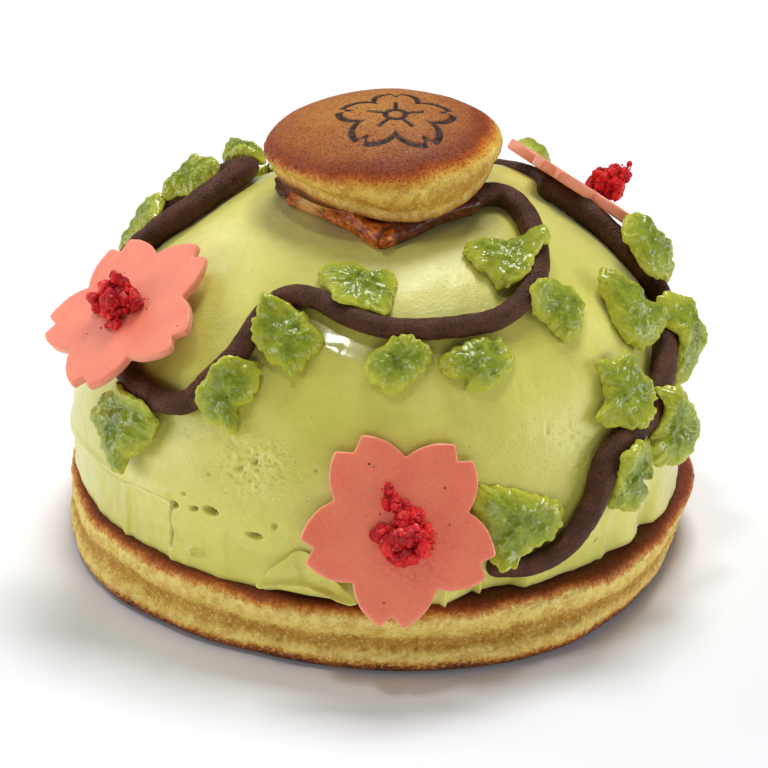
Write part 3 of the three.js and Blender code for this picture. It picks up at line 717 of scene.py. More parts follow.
# %% Cream finish
cream = Finish(
    "matcha_cream", Subsurface_Weight=0.25, Subsurface_Scale=0.0015, Subsurface_Radius=(1.0, 0.9, 0.35),
    IOR=1.42, Coat_Weight=0.55, Coat_IOR=1.5, Sheen_Weight=0.3, Sheen_Roughness=0.5,
)
tone = cream.ramp(cream.noise(13, 3), (0.30, 204, 200, 79), (0.52, 213, 208, 94), (0.74, 224, 218, 118))
tone = cream.tint(tone, cream.patches(1.1, 4, 0.42, 0.62), 0.20, (192, 190, 62))
shown = cream.times(cream.patches(4.0, 2, 0.50, 0.62), 0.5)
tone = cream.tint(tone, cream.cells(1.5, 0.12, 0.05), shown, (120, 128, 34))
# the holes, the crack and the seam are tinted darker: painted shade in the recesses
cream.colour(cream.tint(tone, cream.attribute("hollow"), 0.75, (112, 104, 18)))
cream.feed(cream.shader.inputs["Coat Roughness"], cream.spread(cream.attribute("wet"), 0, 1, 0.38, 0.07))
cream.roughness(5.5, 0.35, 0.7, 0.34, 0.50)
grainy = cream.times(cream.noise(0.32, 3), cream.patches(8, 2, 0.42, 0.62, 0.25, 1.6))
broken = cream.times(cream.cells(0.75, 0.06, 0.22, -0.9, 0.0), cream.patches(5, 3, 0.50, 0.62))
torn_open = cream.times(cream.cells(0.62, 0.12, 0.34, -2.6, 0.0), cream.attribute("rough"))
swells = cream.times(cream.noise(2.6, 2), 2.0)
cream.relief(cream.plus(cream.plus(grainy, cream.plus(broken, torn_open)), swells), 0.10, 0.8)
serve(cream_mesh, cream, "cream", "cream_dome")

# %% [markdown]
# ## Sponge that has met a griddle
#
# Both pancakes, the wide base and the small cap, were poured as batter: the face that lay on the iron is
# smooth and browned, the rim is rounded, and the side stayed pale and full of small holes. Such a piece
# is a turned profile, so each is lathed from a few points at high resolution and then made uneven.
# How brown it is depends on where along the profile a point lies, so every point remembers its share of
# the way along, and the finish turns that into colour.

# %% Lathe
def line_length(line):
    return float(np.linalg.norm(np.diff(line, axis=0), axis=1).sum())


def evenly(line, count, closed=False):
    """`count` evenly spaced points along a line. A closed one already repeats its first point."""
    length = np.concatenate([[0], np.cumsum(np.linalg.norm(np.diff(line, axis=0), axis=1))])
    at = np.linspace(0, length[-1], count, endpoint=not closed)
    return np.stack([np.interp(at, length, line[:, i]) for i in range(line.shape[1])], -1)


def spline(points, count, closed=False, power=0.25):
    """A smooth line through the points (centripetal Catmull-Rom), as `count` evenly spaced points."""
    points = np.asarray(points, float)
    if closed:
        points = np.vstack([points[-1], points, points[0], points[1]])
    else:
        points = np.vstack([2 * points[0] - points[1], points, 2 * points[-1] - points[-2]])
    share = np.linspace(0, 1, 16, endpoint=False)[:, None]
    line = []
    for a, b, c, d in zip(points[:-3], points[1:-2], points[2:-1], points[3:]):
        pairs = ((a, b), (b, c), (c, d))
        before, here, after = (max(float(((q - p) ** 2).sum()) ** power, 1e-4) for p, q in pairs)
        leave = ((b - a) / before - (c - a) / (before + here) + (c - b) / here) * here
        arrive = ((c - b) / here - (d - b) / (here + after) + (d - c) / after) * here
        cubic = 2 * b - 2 * c + leave + arrive
        square = 3 * c - 3 * b - 2 * leave - arrive
        line.append(b + leave * share + square * share**2 + cubic * share**3)
    return evenly(np.vstack([*line, points[-2]]), count, closed)


def lathe(profile, rows, columns):
    """Rings from a [radius, height] profile, with each ring's share of the way along it."""
    line = spline(profile, rows + 2)[1:-1]
    turn = np.linspace(0, 2 * math.pi, columns, endpoint=False)
    x = line[:, :1] * np.sin(turn)
    y = -line[:, :1] * np.cos(turn)
    z = np.repeat(line[:, 1:], columns, axis=1)
    along = np.repeat(np.linspace(0, 1, rows)[:, None], columns, axis=1)
    return np.stack([x, y, z], -1), along


def around(rings):
    """Each point's distance from the middle, and its bearing in radians and in degrees."""
    bearing = np.arctan2(rings[..., 0], -rings[..., 1])
    return np.hypot(rings[..., 0], rings[..., 1]), bearing, np.degrees(bearing)


print("a tent made smooth:", spline(((0, 0), (1, 1), (2, 0)), 5).round(2).tolist())

# %% Pancake base
BASE_RADIUS = 42.5
BASE_PROFILE = [
    # the flat middle, hidden under the cream, is closed by skin()
    (35, 0), (38, 0), (40.8, 0.05), (41.9, 0.7), (42.35, 2.0), (42.3, 3.1), (41.85, 4.2), (42.2, 5.4),
    (42.5, 6.8), (42.4, 8.0), (41.6, 8.85), (39.4, 9), (35, 9),
]

FOOT_OUT = [
    # bearing, how far the foot stands out there
    (-180, 0), (-90, -0.2), (-70, 0.5), (-52, 1.3), (-42, 0.8), (-30, 0.75), (-21, 0.1), (-6, 0.2), (8, 0.8),
    (25, 1.4), (36, 0.9), (44, -0.1), (56, -0.7), (72, -1.0), (90, -0.6), (110, 0), (180, 0),
]
base_rings, base_along = lathe(BASE_PROFILE, 120, 600)
radius, bearing, degrees = around(base_rings)
height = base_rings[..., 2].copy()
outer = smoothstep(radius, 36, BASE_RADIUS)
low, mid = 1 - smoothstep(height, 1.5, 6), smoothstep(height, 2, 5)
bulges = 0.8 * bump(degrees, 84, 17) * smoothstep(height, 5.5, 8) - 0.55 * mid * bump(degrees, -88, 16)
bulges += mid * (0.3 * bump(degrees, 90, 10) * smoothstep(height, 6, 8) - 0.5 * bump(degrees, 72, 14))
wander = 0.28 * np.sin(3 * bearing + 0.6) + 0.16 * np.sin(7 * bearing + 2.1) + bulges
wander += 0.22 * grain(base_rings * (1, 1, 0.4), 9, 61, 2) * smoothstep(height, 0, 2)
wander += 0.12 * ripple(base_rings, 1.7, 63) * smoothstep(height, 7, 8.6)
wander += low * (np.interp(degrees, *np.array(FOOT_OUT).T) - 0.15)
base_rings[..., :2] *= (1 + outer * wander / radius)[..., None]
waves = np.minimum(0.22 * np.sin(2 * bearing + 1.2) + 0.14 * np.sin(5 * bearing), 0.1)
base_rings[..., 2] += waves * smoothstep(height, 0, 3) * outer
base_mesh = skin("griddled_base", base_rings)


def sponge_height(points, side, seed):
    """The side's uneven crumb and its open holes, fading out on the griddled faces."""
    soft = 0.11 * grain(points * (1, 1, 1.5), 2.4, seed, 3) + 0.05 * grain(points, 0.7, seed + 4, 2)
    open_crumb = smoothstep(ripple(points, 4, seed + 7), -0.1, 0.4)
    holes = smoothstep(pebbles(points, 1.15, seed + 8), 0.80, 0.92) * open_crumb
    small = smoothstep(pebbles(points, 0.6, seed + 12), 0.82, 0.93)
    return side * (soft - 0.30 * holes - 0.10 * small) + (1 - side) * 0.03 * grain(points, 1.5, seed + 15, 2)


base_side = with_poles(between(base_along, 0.29, 0.34, 0.64, 0.70))
off_floor = with_poles(smoothstep(base_along, 0.26, 0.30))
roughen(base_mesh, lambda points: sponge_height(points, base_side, 71) * off_floor)
browner = 0.03 * bump(degrees, 80, 24) * smoothstep(base_along, 0.6, 0.66)
paint(base_mesh, along=base_along + browner, side=base_side)
print("base rings", base_rings.shape)

# %% [markdown]
# From the underside up, the base's colours go from a dark, toasted foot through pale crumb to a darker
# honey band in the groove, then pale again, and quickly through orange to the deep brown of the upper
# rim. A noise shifts the borders, because no griddle is even, and a finer one frays them. The side has
# crumb and pale flour. Pores everywhere are darkened, as painted shade in their holes, and the browned
# faces have a dusting of darker pores as well.

# %% Griddled finish
SIDE_DUSTING = 0.16


def griddled(name, drift_size, drift, fray, dusting, matt, *stops):
    """The finish, and its colour, of sponge that browns through the stops along its profile."""
    sponge = Finish(
        name, IOR=1.3, Subsurface_Weight=0.10, Subsurface_Scale=0.0008, Subsurface_Radius=(1.0, 0.6, 0.25)
    )
    side = sponge.attribute("side")
    wide = sponge.maths("MULTIPLY_ADD", sponge.noise(drift_size, 3), drift * 2, -drift)
    frayed = sponge.maths("MULTIPLY_ADD", sponge.noise(0.6, 4, 0.6), fray, -fray / 2)
    tone = sponge.ramp(sponge.plus(sponge.attribute("along"), sponge.plus(wide, frayed)), *stops)
    blotch = sponge.times(sponge.patches(1.6, 5, 0.42, 0.60, rough=0.65), side)
    tone = sponge.tint(tone, blotch, 0.50, (206, 162, 66), "MULTIPLY")
    flour = sponge.times(sponge.patches(0.42, 3, 0.54, 0.70), side)
    tone = sponge.tint(tone, flour, 0.45, (246, 222, 150))
    dust = sponge.patches(0.26, 2, 0.50, 0.62)
    on_face = sponge.maths("MULTIPLY_ADD", side, SIDE_DUSTING - dusting, dusting)
    tone = sponge.tint(tone, dust, on_face, (150, 92, 60), "MULTIPLY")
    # the pores are sunk in the relief and tinted dark: painted shade in the holes
    pores_and_shade = sponge.times(sponge.cells(0.48, 0.22, 0.08), sponge.patches(1.7, 2, 0.42, 0.58))
    tone = sponge.tint(tone, pores_and_shade, 0.6, (84, 40, 20))
    size, smooth, rough = matt
    sponge.roughness(size, 0.35, 0.65, smooth, rough)
    fibres = sponge.times(sponge.noise(0.30, 3, stretch=(1, 1, 0.28)), side)
    crumbly = sponge.maths("MULTIPLY_ADD", sponge.noise(0.40, 5, 0.6), 1.1, sponge.times(fibres, 0.7))
    sponge.relief(sponge.maths("SUBTRACT", crumbly, sponge.times(pores_and_shade, 0.8)), 0.12, 0.9)
    return sponge, tone


base_finish, tone = griddled(
    "griddled_base", 7, 0.055, 0.09, SIDE_DUSTING, (0.5, 0.45, 0.85),
    (0.296, 64, 26, 14), (0.342, 146, 74, 28), (0.366, 212, 160, 68), (0.390, 230, 208, 118),
    (0.430, 224, 196, 102), (0.465, 192, 150, 58), (0.515, 188, 144, 54), (0.550, 228, 202, 106),
    (0.640, 234, 212, 124), (0.668, 208, 140, 56), (0.695, 164, 82, 32), (0.725, 122, 54, 22),
    (0.800, 92, 38, 16),
)
base_finish.colour(tone)
serve(base_mesh, base_finish, "pancake", "pancake_base")

# %% [markdown]
# ## The mini pancake and its slice
#
# What lies on the flattened crown shares its tilt, so both pieces are built level and then turned
# together. The cap is a lathe again. Its top carries a blossom burnt in with a hot iron, an old
# confectioner's motif of five petals in outline. It is drawn by measuring each point's distance from a
# rosette curve rather than by a picture, so it is as sharp as the rings are fine.

# %% The crown's axes
GAP = 0.3
SLICE_THICKNESS = 2.4
SLICE_LENGTH = 25
SLICE_WIDTH = 16
SLICE_CORNER = (-0.3, -17.3)
SLICE_TURN = 39
SLICE_FOOT = GAP + 0.35
SLICE_DROOP = 0.12
CAP_CENTRE = (-0.2, 0)  # where the cap really lies, a little to the right of its solid
CAP_FOOT = SLICE_FOOT + SLICE_THICKNESS + SLICE_DROOP + GAP
CAP_RADIUS = 15.5
CAP_SAG = 1.3

crown_turn = Vector((0, 0, 1)).rotation_difference(Vector(CROWN_UP)).to_matrix()
CROWN_AXES = np.array(crown_turn)


def on_crown(points, place):
    """Level points, moved to a place whose height is above the crown, and tilted as the crown is."""
    return (points + place - (*CROWN_MIDDLE[:2], 0)) @ CROWN_AXES.T + CROWN_MIDDLE


print("the crown leans", round(math.degrees(math.acos(CROWN_AXES[2, 2])), 1), "degrees")

# %% Cap shape
CAP_PROFILE = [
    (9, 0), (12.9, 0), (13.9, 0.45), (14.35, 1.2), (14.4, 2.1), (15.0, 2.9), (15.5, 3.7), (15.4, 4.8),
    (14.4, 6.0), (11.4, 7.7), (7.6, 9.0), (3.6, 9.7), (0, 9.85),
]
MARK_CENTRE = (1.8, -3.2)  # on the cap's top
MARK_SIZE = 7.6
MARK_LINE = 0.57  # half the width of the iron's line
PALEST = math.radians(62)  # bearing where least of the cap's side is browned

cap_rings, cap_along = lathe(CAP_PROFILE, 160, 420)
radius, bearing, degrees = around(cap_rings)
outer = smoothstep(radius, 10, CAP_RADIUS)
wander = 0.2 * np.sin(3 * bearing + 1) + 0.12 * np.sin(8 * bearing) + 0.12 * grain(cap_rings, 6, 91, 2)
overhang = (1.35 * bump(degrees, 20, 36) - bump(degrees, -54, 36)) * smoothstep(radius, 12.6, 14.2)
low = 1 - smoothstep(cap_rings[..., 2], 2, 7)


def burnt_line(x, y):
    """How deep in the mark a point lies: 1 on its lines, 0 away from them."""
    x, y = x - MARK_CENTRE[0], y - MARK_CENTRE[1]
    turn, reach = np.arctan2(y, x), np.hypot(x, y)
    petal = np.abs(np.cos(2.5 * (turn - math.pi / 2)))
    notch = 0.16 * bell(1 - petal, 0.012)
    outline = MARK_SIZE * (0.60 + 0.40 * petal**0.75 - notch)
    outer_line = np.abs(reach - outline) / (1.0 + 0.5 * (1 - petal))
    heart = np.abs(reach - 0.17 * MARK_SIZE)
    swing = (turn - math.pi / 2 + math.pi / 5) % (2 * math.pi / 5) - math.pi / 5
    in_stamens = (reach > 0.19 * MARK_SIZE) & (reach < 0.50 * MARK_SIZE)
    stamens = np.where(in_stamens, np.abs(swing) * reach * 1.3, 9)
    distance = np.minimum(np.minimum(outer_line, heart * 1.3), stamens * 1.2)
    return 1 - smoothstep(distance, MARK_LINE * 0.55, MARK_LINE * 1.1)


on_top = smoothstep(cap_rings[..., 2], 5.5, 6.5)
burn = burnt_line(cap_rings[..., 0], cap_rings[..., 1]) * on_top
cap_rings[..., :2] *= (1 + outer * wander / np.maximum(radius, 0.1))[..., None]
cap_rings[..., 2] -= CAP_SAG * overhang * low + 0.14 * burn
cap_rings[..., 2] += on_top * 0.12 * grain(cap_rings * (1, 1, 0), 9, 95, 2)
cap_mesh = skin("griddled_cap", on_crown(cap_rings, (*CAP_CENTRE, CAP_FOOT)))
cap_side = with_poles(between(cap_along, 0.18, 0.23, 0.36, 0.41))
cap_top = with_poles(smoothstep(cap_along, 0.42, 0.50))


def cap_height(points):
    shown = smoothstep(ripple(points, 3, 102), -0.3, 0.2)
    pinholes = smoothstep(pebbles(points, 0.55, 100), 0.90, 0.98) * shown
    return sponge_height(points, cap_side, 97) - cap_top * 0.07 * pinholes


roughen(cap_mesh, cap_height)
uneven = 0.055 * np.cos(bearing - PALEST) * smoothstep(cap_along, 0.25, 0.36)
paint(cap_mesh, along=cap_along - uneven, side=cap_side, burn=burn)
print("cap burn covers", round(float(burn.mean()), 3))

# %% Cap finish
cap_finish, tone = griddled(
    "griddled_cap", 4, 0.03, 0.05, 0.7, (0.6, 0.40, 0.75),
    (0.150, 84, 42, 22), (0.182, 124, 62, 28), (0.208, 190, 134, 60), (0.240, 226, 198, 104),
    (0.284, 202, 158, 56), (0.325, 232, 204, 98), (0.352, 222, 166, 60), (0.385, 192, 102, 32),
    (0.415, 146, 66, 24), (0.460, 144, 70, 27), (0.520, 164, 94, 40), (0.700, 180, 116, 52),
    (0.950, 190, 132, 62),
)
shade = cap_finish.patches(3.5, 4, 0.38, 0.62, rough=0.6)
tone = cap_finish.tint(tone, shade, 0.25, (210, 150, 110), "MULTIPLY")
worn = cap_finish.patches(0.9, 3, 0.25, 0.5, 0.72, 1.0)
cap_finish.colour(cap_finish.tint(tone, cap_finish.attribute("burn"), worn, (38, 14, 9)))
serve(cap_mesh, cap_finish, "cap", "cap_pancake")

# %% [markdown]
# The slice under the cap is caramelised pastry, glossy with sugar. It is drawn as rings that grow from
# the middle of its top out to a rectangle with rounded corners, down its side and back in underneath.
# Where it sticks out from under the cap, its rim swells to fill the space. Its right edge has rolled
# over into a dark, round hem. Its left edge is torn and shows flaky layers, of which one has curled up,
# and towards the front corner, which hangs down a little, it is split, and the split is painted near
# black as shade.

# %% Slice rings
def rectangle(length, width, corner, count):
    """Evenly spaced points round a rectangle with rounded corners."""
    points = []
    for turn, (x, y) in enumerate(((1, 1), (-1, 1), (-1, -1), (1, -1))):
        middle = np.array([x * (length / 2 - corner), y * (width / 2 - corner)])
        for angle in np.linspace(0, 90, 7) + 90 * turn:
            points.append(middle + corner * np.array(cos_sin(angle)))
    return evenly(np.array([*points, points[0]]), count, closed=True)


SLICE_COLUMNS = 420
SWELL = 0.55  # how far the rim swells up and down
SPLIT_AT, SPLIT_WIDTH = 0.75 - SLICE_LENGTH / 2, 0.22
CURL_AT, CURL_WIDTH = 1.0, 1.2
rim = rectangle(SLICE_LENGTH, SLICE_WIDTH, 0.6, SLICE_COLUMNS)
half = SLICE_THICKNESS / 2
steps = [(s, half) for s in np.linspace(0.2, 0.88, 14)]
steps += [(1 - 0.12 * (1 - math.sin(a)), half * math.cos(a)) for a in np.linspace(0.12, math.pi - 0.12, 34)]
steps += [(s, -half) for s in np.linspace(0.88, 0.1, 8)]
slice_rings = np.array([np.column_stack([rim * s, np.full(SLICE_COLUMNS, z)]) for s, z in steps])
print("slice rings", slice_rings.shape)

# %% Torn and curled edges
x, y, z = (slice_rings[..., i] for i in range(3))  # views: what is added to them moves the rings
along, across = x / (SLICE_LENGTH / 2), y / (SLICE_WIDTH / 2)
edge = np.maximum(np.abs(along), np.abs(across)) ** 6
torn_side = smoothstep(across, 0.70, 0.82)  # the left edge of the slice as it lies on the cake
torn = 0.35 * np.sin(5.3 * along + 2 * z) + 0.3 * np.sin(6.1 * across + z)
layers = ripple(slice_rings * (0.5, 0.5, 1.6), 1.3, 111) + 0.4 * ripple(slice_rings * (1, 1, 1.6), 0.7, 115)
torn = 0.5 * torn + (0.06 + 0.16 * torn_side) * layers + 0.12 * grain(slice_rings, 1.8, 113, 2)
slope = torn_side * 0.35 * z / half  # the torn face leans back
x += torn * edge * np.sign(along)
y += (torn - slope) * edge * np.sign(across)
z += edge * SLICE_DROOP * np.sin(4 * along + 3 * across) + 0.06 * grain(slice_rings, 2.0, 117, 3)
z += edge * SWELL * z / half
z -= 0.5 * np.exp(-((x + SLICE_LENGTH / 2) ** 2 + (y - SLICE_WIDTH / 2) ** 2) / 60)  # the front corner
split = bell(x - SPLIT_AT, SPLIT_WIDTH) * torn_side
y -= 0.7 * split * edge * smoothstep(1.2 - np.abs(z + 0.4), -0.2, 0.6)
curl = bell(x - CURL_AT, CURL_WIDTH) * torn_side * smoothstep(z, -0.5, 1.2)
z += 0.7 * curl
y += 0.5 * curl
tucked = smoothstep(along, 0.62, 0.72) * torn_side  # beyond the torn part only a thin brown edge shows
y -= 0.9 * tucked * edge
z -= 0.5 * tucked * smoothstep(z, 0, 1.4)

c, s = cos_sin(90 + SLICE_TURN)
SLICE_AXES = np.array([[c, -s, 0], [s, c, 0], [0, 0, 1]])
to_middle = SLICE_AXES @ np.array([SLICE_LENGTH / 2, -SLICE_WIDTH / 2, 0])
slice_place = (*SLICE_CORNER, SLICE_FOOT + SLICE_THICKNESS / 2) + to_middle
slice_mesh = skin("caramel_slice_crust", on_crown(slice_rings @ SLICE_AXES.T, slice_place))
roughen(slice_mesh, lambda points: 0.05 * grain(points, 0.5, 119, 2))
flake = np.clip(curl * 1.3 + torn_side * bump(along * 90, 22, 14) * 0.5, 0, 1)
paint(slice_mesh, torn=torn_side * (1 - tucked), flake=flake, split=split)
print("slice", len(slice_mesh.vertices), "points")

# %% Slice finish
crust = Finish("caramel_crust", IOR=1.25, Coat_Weight=0.12, Coat_Roughness=0.12)
sheets = crust.noise(0.9, 5, 0.62, stretch=(0.7, 0.7, 2.2), swirl=0.4)
torn_tone = crust.ramp(
    sheets, (0.32, 72, 26, 8), (0.44, 146, 62, 14), (0.56, 182, 92, 22), (0.68, 212, 140, 48)
)
hem_tone = crust.ramp(sheets, (0.30, 46, 18, 10), (0.50, 80, 36, 18), (0.66, 116, 62, 32))
tone = crust.mix(crust.attribute("torn"), hem_tone, torn_tone)
tone = crust.tint(tone, crust.attribute("flake"), 0.9, (240, 200, 120))
# the split is painted near black: painted shade in the crack
crust.colour(crust.tint(tone, crust.attribute("split"), 1, (40, 16, 12)))
crust.roughness(0.8, 0.35, 0.65, 0.22, 0.55)
crust.relief(crust.noise(0.5, 4, 0.55), 0.12, 0.8)
serve(slice_mesh, crust, "caramel", "caramel_slice")

# %% [markdown]
# ## Piped vines
#
# The vines are chocolate paste, piped from a round nozzle in one long stroke each. The hand sped up over
# the front, so the paste is thinner there. Paste of this kind is pitted like orange peel and tears into
# fine wrinkles across the stroke where it bends. Each vine is swept along a smooth line through its
# stops, as rings that reach down to the cream.

# %% Vine routes
# At the front vine's far end three more stops run on under the cap, where its solid had to stop short.
# The other two leave the right blossom a little further back than their solids do.
VINE_WIDTH = 3.4
VINE_THICKNESS = 2.9
VINE_LIFT = VINE_THICKNESS / 2 + GAP
VINES = {
    "vine_front": [
        (-122, 64), (-117, 56), (-116, 48), (-120, 42), (-124, 37), (-122, 33), (-116, 31.5), (-108, 32),
        (-100, 34.5), (-94, 38.5), (-94, 44), (-92, 50), (-84, 54), (-72, 58), (-60, 60), (-52, 61.5),
        (-45, 61.5), (-39, 60), (-35.5, 55), (-32.5, 50), (-31.5, 45), (-30, 40.5), (-26, 38), (-19, 37.8),
        (-11, 39.8), (-2, 41.5), (6, 42), (20, 42), (30, 41.5), (41, 38.5), (49, 35.5), (56, 32), (64, 28.5),
        (74, 25), (82, 21), (76, 17.5), (60, 16), (44, 18),
    ],
    "vine_right": [
        (114.5, 30.5), (108, 34), (102, 38), (98, 43), (95, 48), (95, 54), (89, 58.5), (76, 60),
        (69, 63), (60, 66), (51, 67.5), (45, 70), (41, 76), (36, 81), (29, 83.5), (19, 82.5),
    ],
    "vine_back": [
        (114, 32.5), (119, 33.5), (125, 35.5), (131, 37.5), (138, 39), (145, 41.5), (153, 44), (163, 48.5),
        (170, 56), (178, 61.5), (188, 63), (198, 57), (204, 49), (213, 44),
    ],
}
WIDTHS = {
    # share of the way along, width in millimetres
    "vine_front": [
        (0, 3.6), (0.2, 3.9), (0.38, 3.4), (0.53, 3.0), (0.64, 2.7), (0.77, 2.8), (0.88, 3.0), (1, 3.1),
    ],
    "vine_right": [(0, 3.8), (0.2, 3.8), (0.4, 3.6), (0.6, 3.8), (0.72, 3.9), (0.84, 3.0), (1, 2.3)],
    "vine_back": [(0, 2.2), (0.15, 2.5), (0.3, 3.2), (1, 3.4)],
}


def through(stops):
    bearing, polar = np.array(stops, float).T
    return dome_point(bearing, polar, VINE_LIFT)


def width_along(name, count):
    return np.interp(np.linspace(0, 1, count), *np.array(WIDTHS[name]).T)


vine_lines = {name: spline(through(stops), 400) for name, stops in VINES.items()}
SAMPLES = 260
vine_samples = np.vstack([spline(through(stops), SAMPLES) for stops in VINES.values()])
sample_widths = np.concatenate([width_along(name, SAMPLES) for name in VINES])
for name, line in vine_lines.items():
    print(name, "is", round(line_length(line)), "mm long")

# %% Vine finish
chocolate = Finish("piped_chocolate", IOR=1.28)
cocoa = chocolate.ramp(chocolate.noise(2.4, 4), (0.32, 68, 38, 24), (0.55, 86, 50, 32), (0.75, 106, 64, 42))
pits = chocolate.cells(0.42, 0.30, 0.10)
cocoa = chocolate.tint(cocoa, chocolate.patches(0.35, 4, 0.45, 0.62), 0.4, (50, 29, 20))
# the pits are sunk in the relief and tinted darker: painted shade in them
chocolate.colour(chocolate.tint(cocoa, pits, 0.25, (42, 24, 17)))
chocolate.roughness(1.2, 0.3, 0.7, 0.40, 0.62)
chocolate.relief(chocolate.maths("SUBTRACT", chocolate.noise(0.30, 3), chocolate.times(pits, 0.8)), 0.24)
print("the chocolate has", len(chocolate.tree.nodes), "nodes")

# %% Vines
VINE_SIDES = 40
RING_STEP = 0.2
TIP = 0.42 * VINE_WIDTH  # how far from its end a vine starts to round off
GIRTH = 1.3  # radius of the tube on which its noises are looked up


def pipe(name, line):
    """Rings along a line, round above it and reaching down to the cream."""
    length = line_length(line)
    rows = int(length / RING_STEP)
    centre = spline(line[::4], rows)
    forward = np.gradient(centre, axis=0)
    forward /= np.linalg.norm(forward, axis=1, keepdims=True)
    bearing, polar, _ = dome_place(centre)
    outward = dome_normal(bearing, polar)
    sideways = np.cross(outward, forward)
    sideways /= np.linalg.norm(sideways, axis=1, keepdims=True)
    at = np.linspace(0, length, rows)
    from_end = np.clip(np.minimum(at, length - at) / TIP, 0, 1)
    tip = np.sqrt(np.clip(1 - (1 - from_end) ** 2, 0.004, 1))
    width = width_along(name, rows) * (1 + 0.03 * ripple(extended(at, 0, 0), 7, len(name)))
    turn = np.linspace(0, 2 * math.pi, VINE_SIDES, endpoint=False)
    tube = np.stack(np.broadcast_arrays(at[:, None], GIRTH * np.cos(turn), GIRTH * np.sin(turn)), -1)
    wrinkles = 0.035 * ripple(tube * (1, 0.3, 0.3), 0.6, 121) + 0.03 * grain(tube, 1.5, 125, 2)
    tears = smoothstep(ripple(tube * (1, 0.5, 0.5), 0.8, 129), 0.5, 0.9)
    swell = tip[:, None] * (1 + wrinkles + 0.02 * grain(tube, 0.55, 131, 2) - 0.05 * tears)
    across = (width[:, None] / 2) * np.cos(turn) * swell
    above = width[:, None] / 2 * (VINE_THICKNESS / VINE_WIDTH)
    up = np.where(np.sin(turn) > 0, above, VINE_LIFT) * np.sin(turn) * swell
    return centre[:, None] + across[..., None] * sideways[:, None] + up[..., None] * outward[:, None]


for name, line in vine_lines.items():
    vine_mesh = skin("piped_" + name, pipe(name, line))
    serve(vine_mesh, chocolate, "chocolate", name)
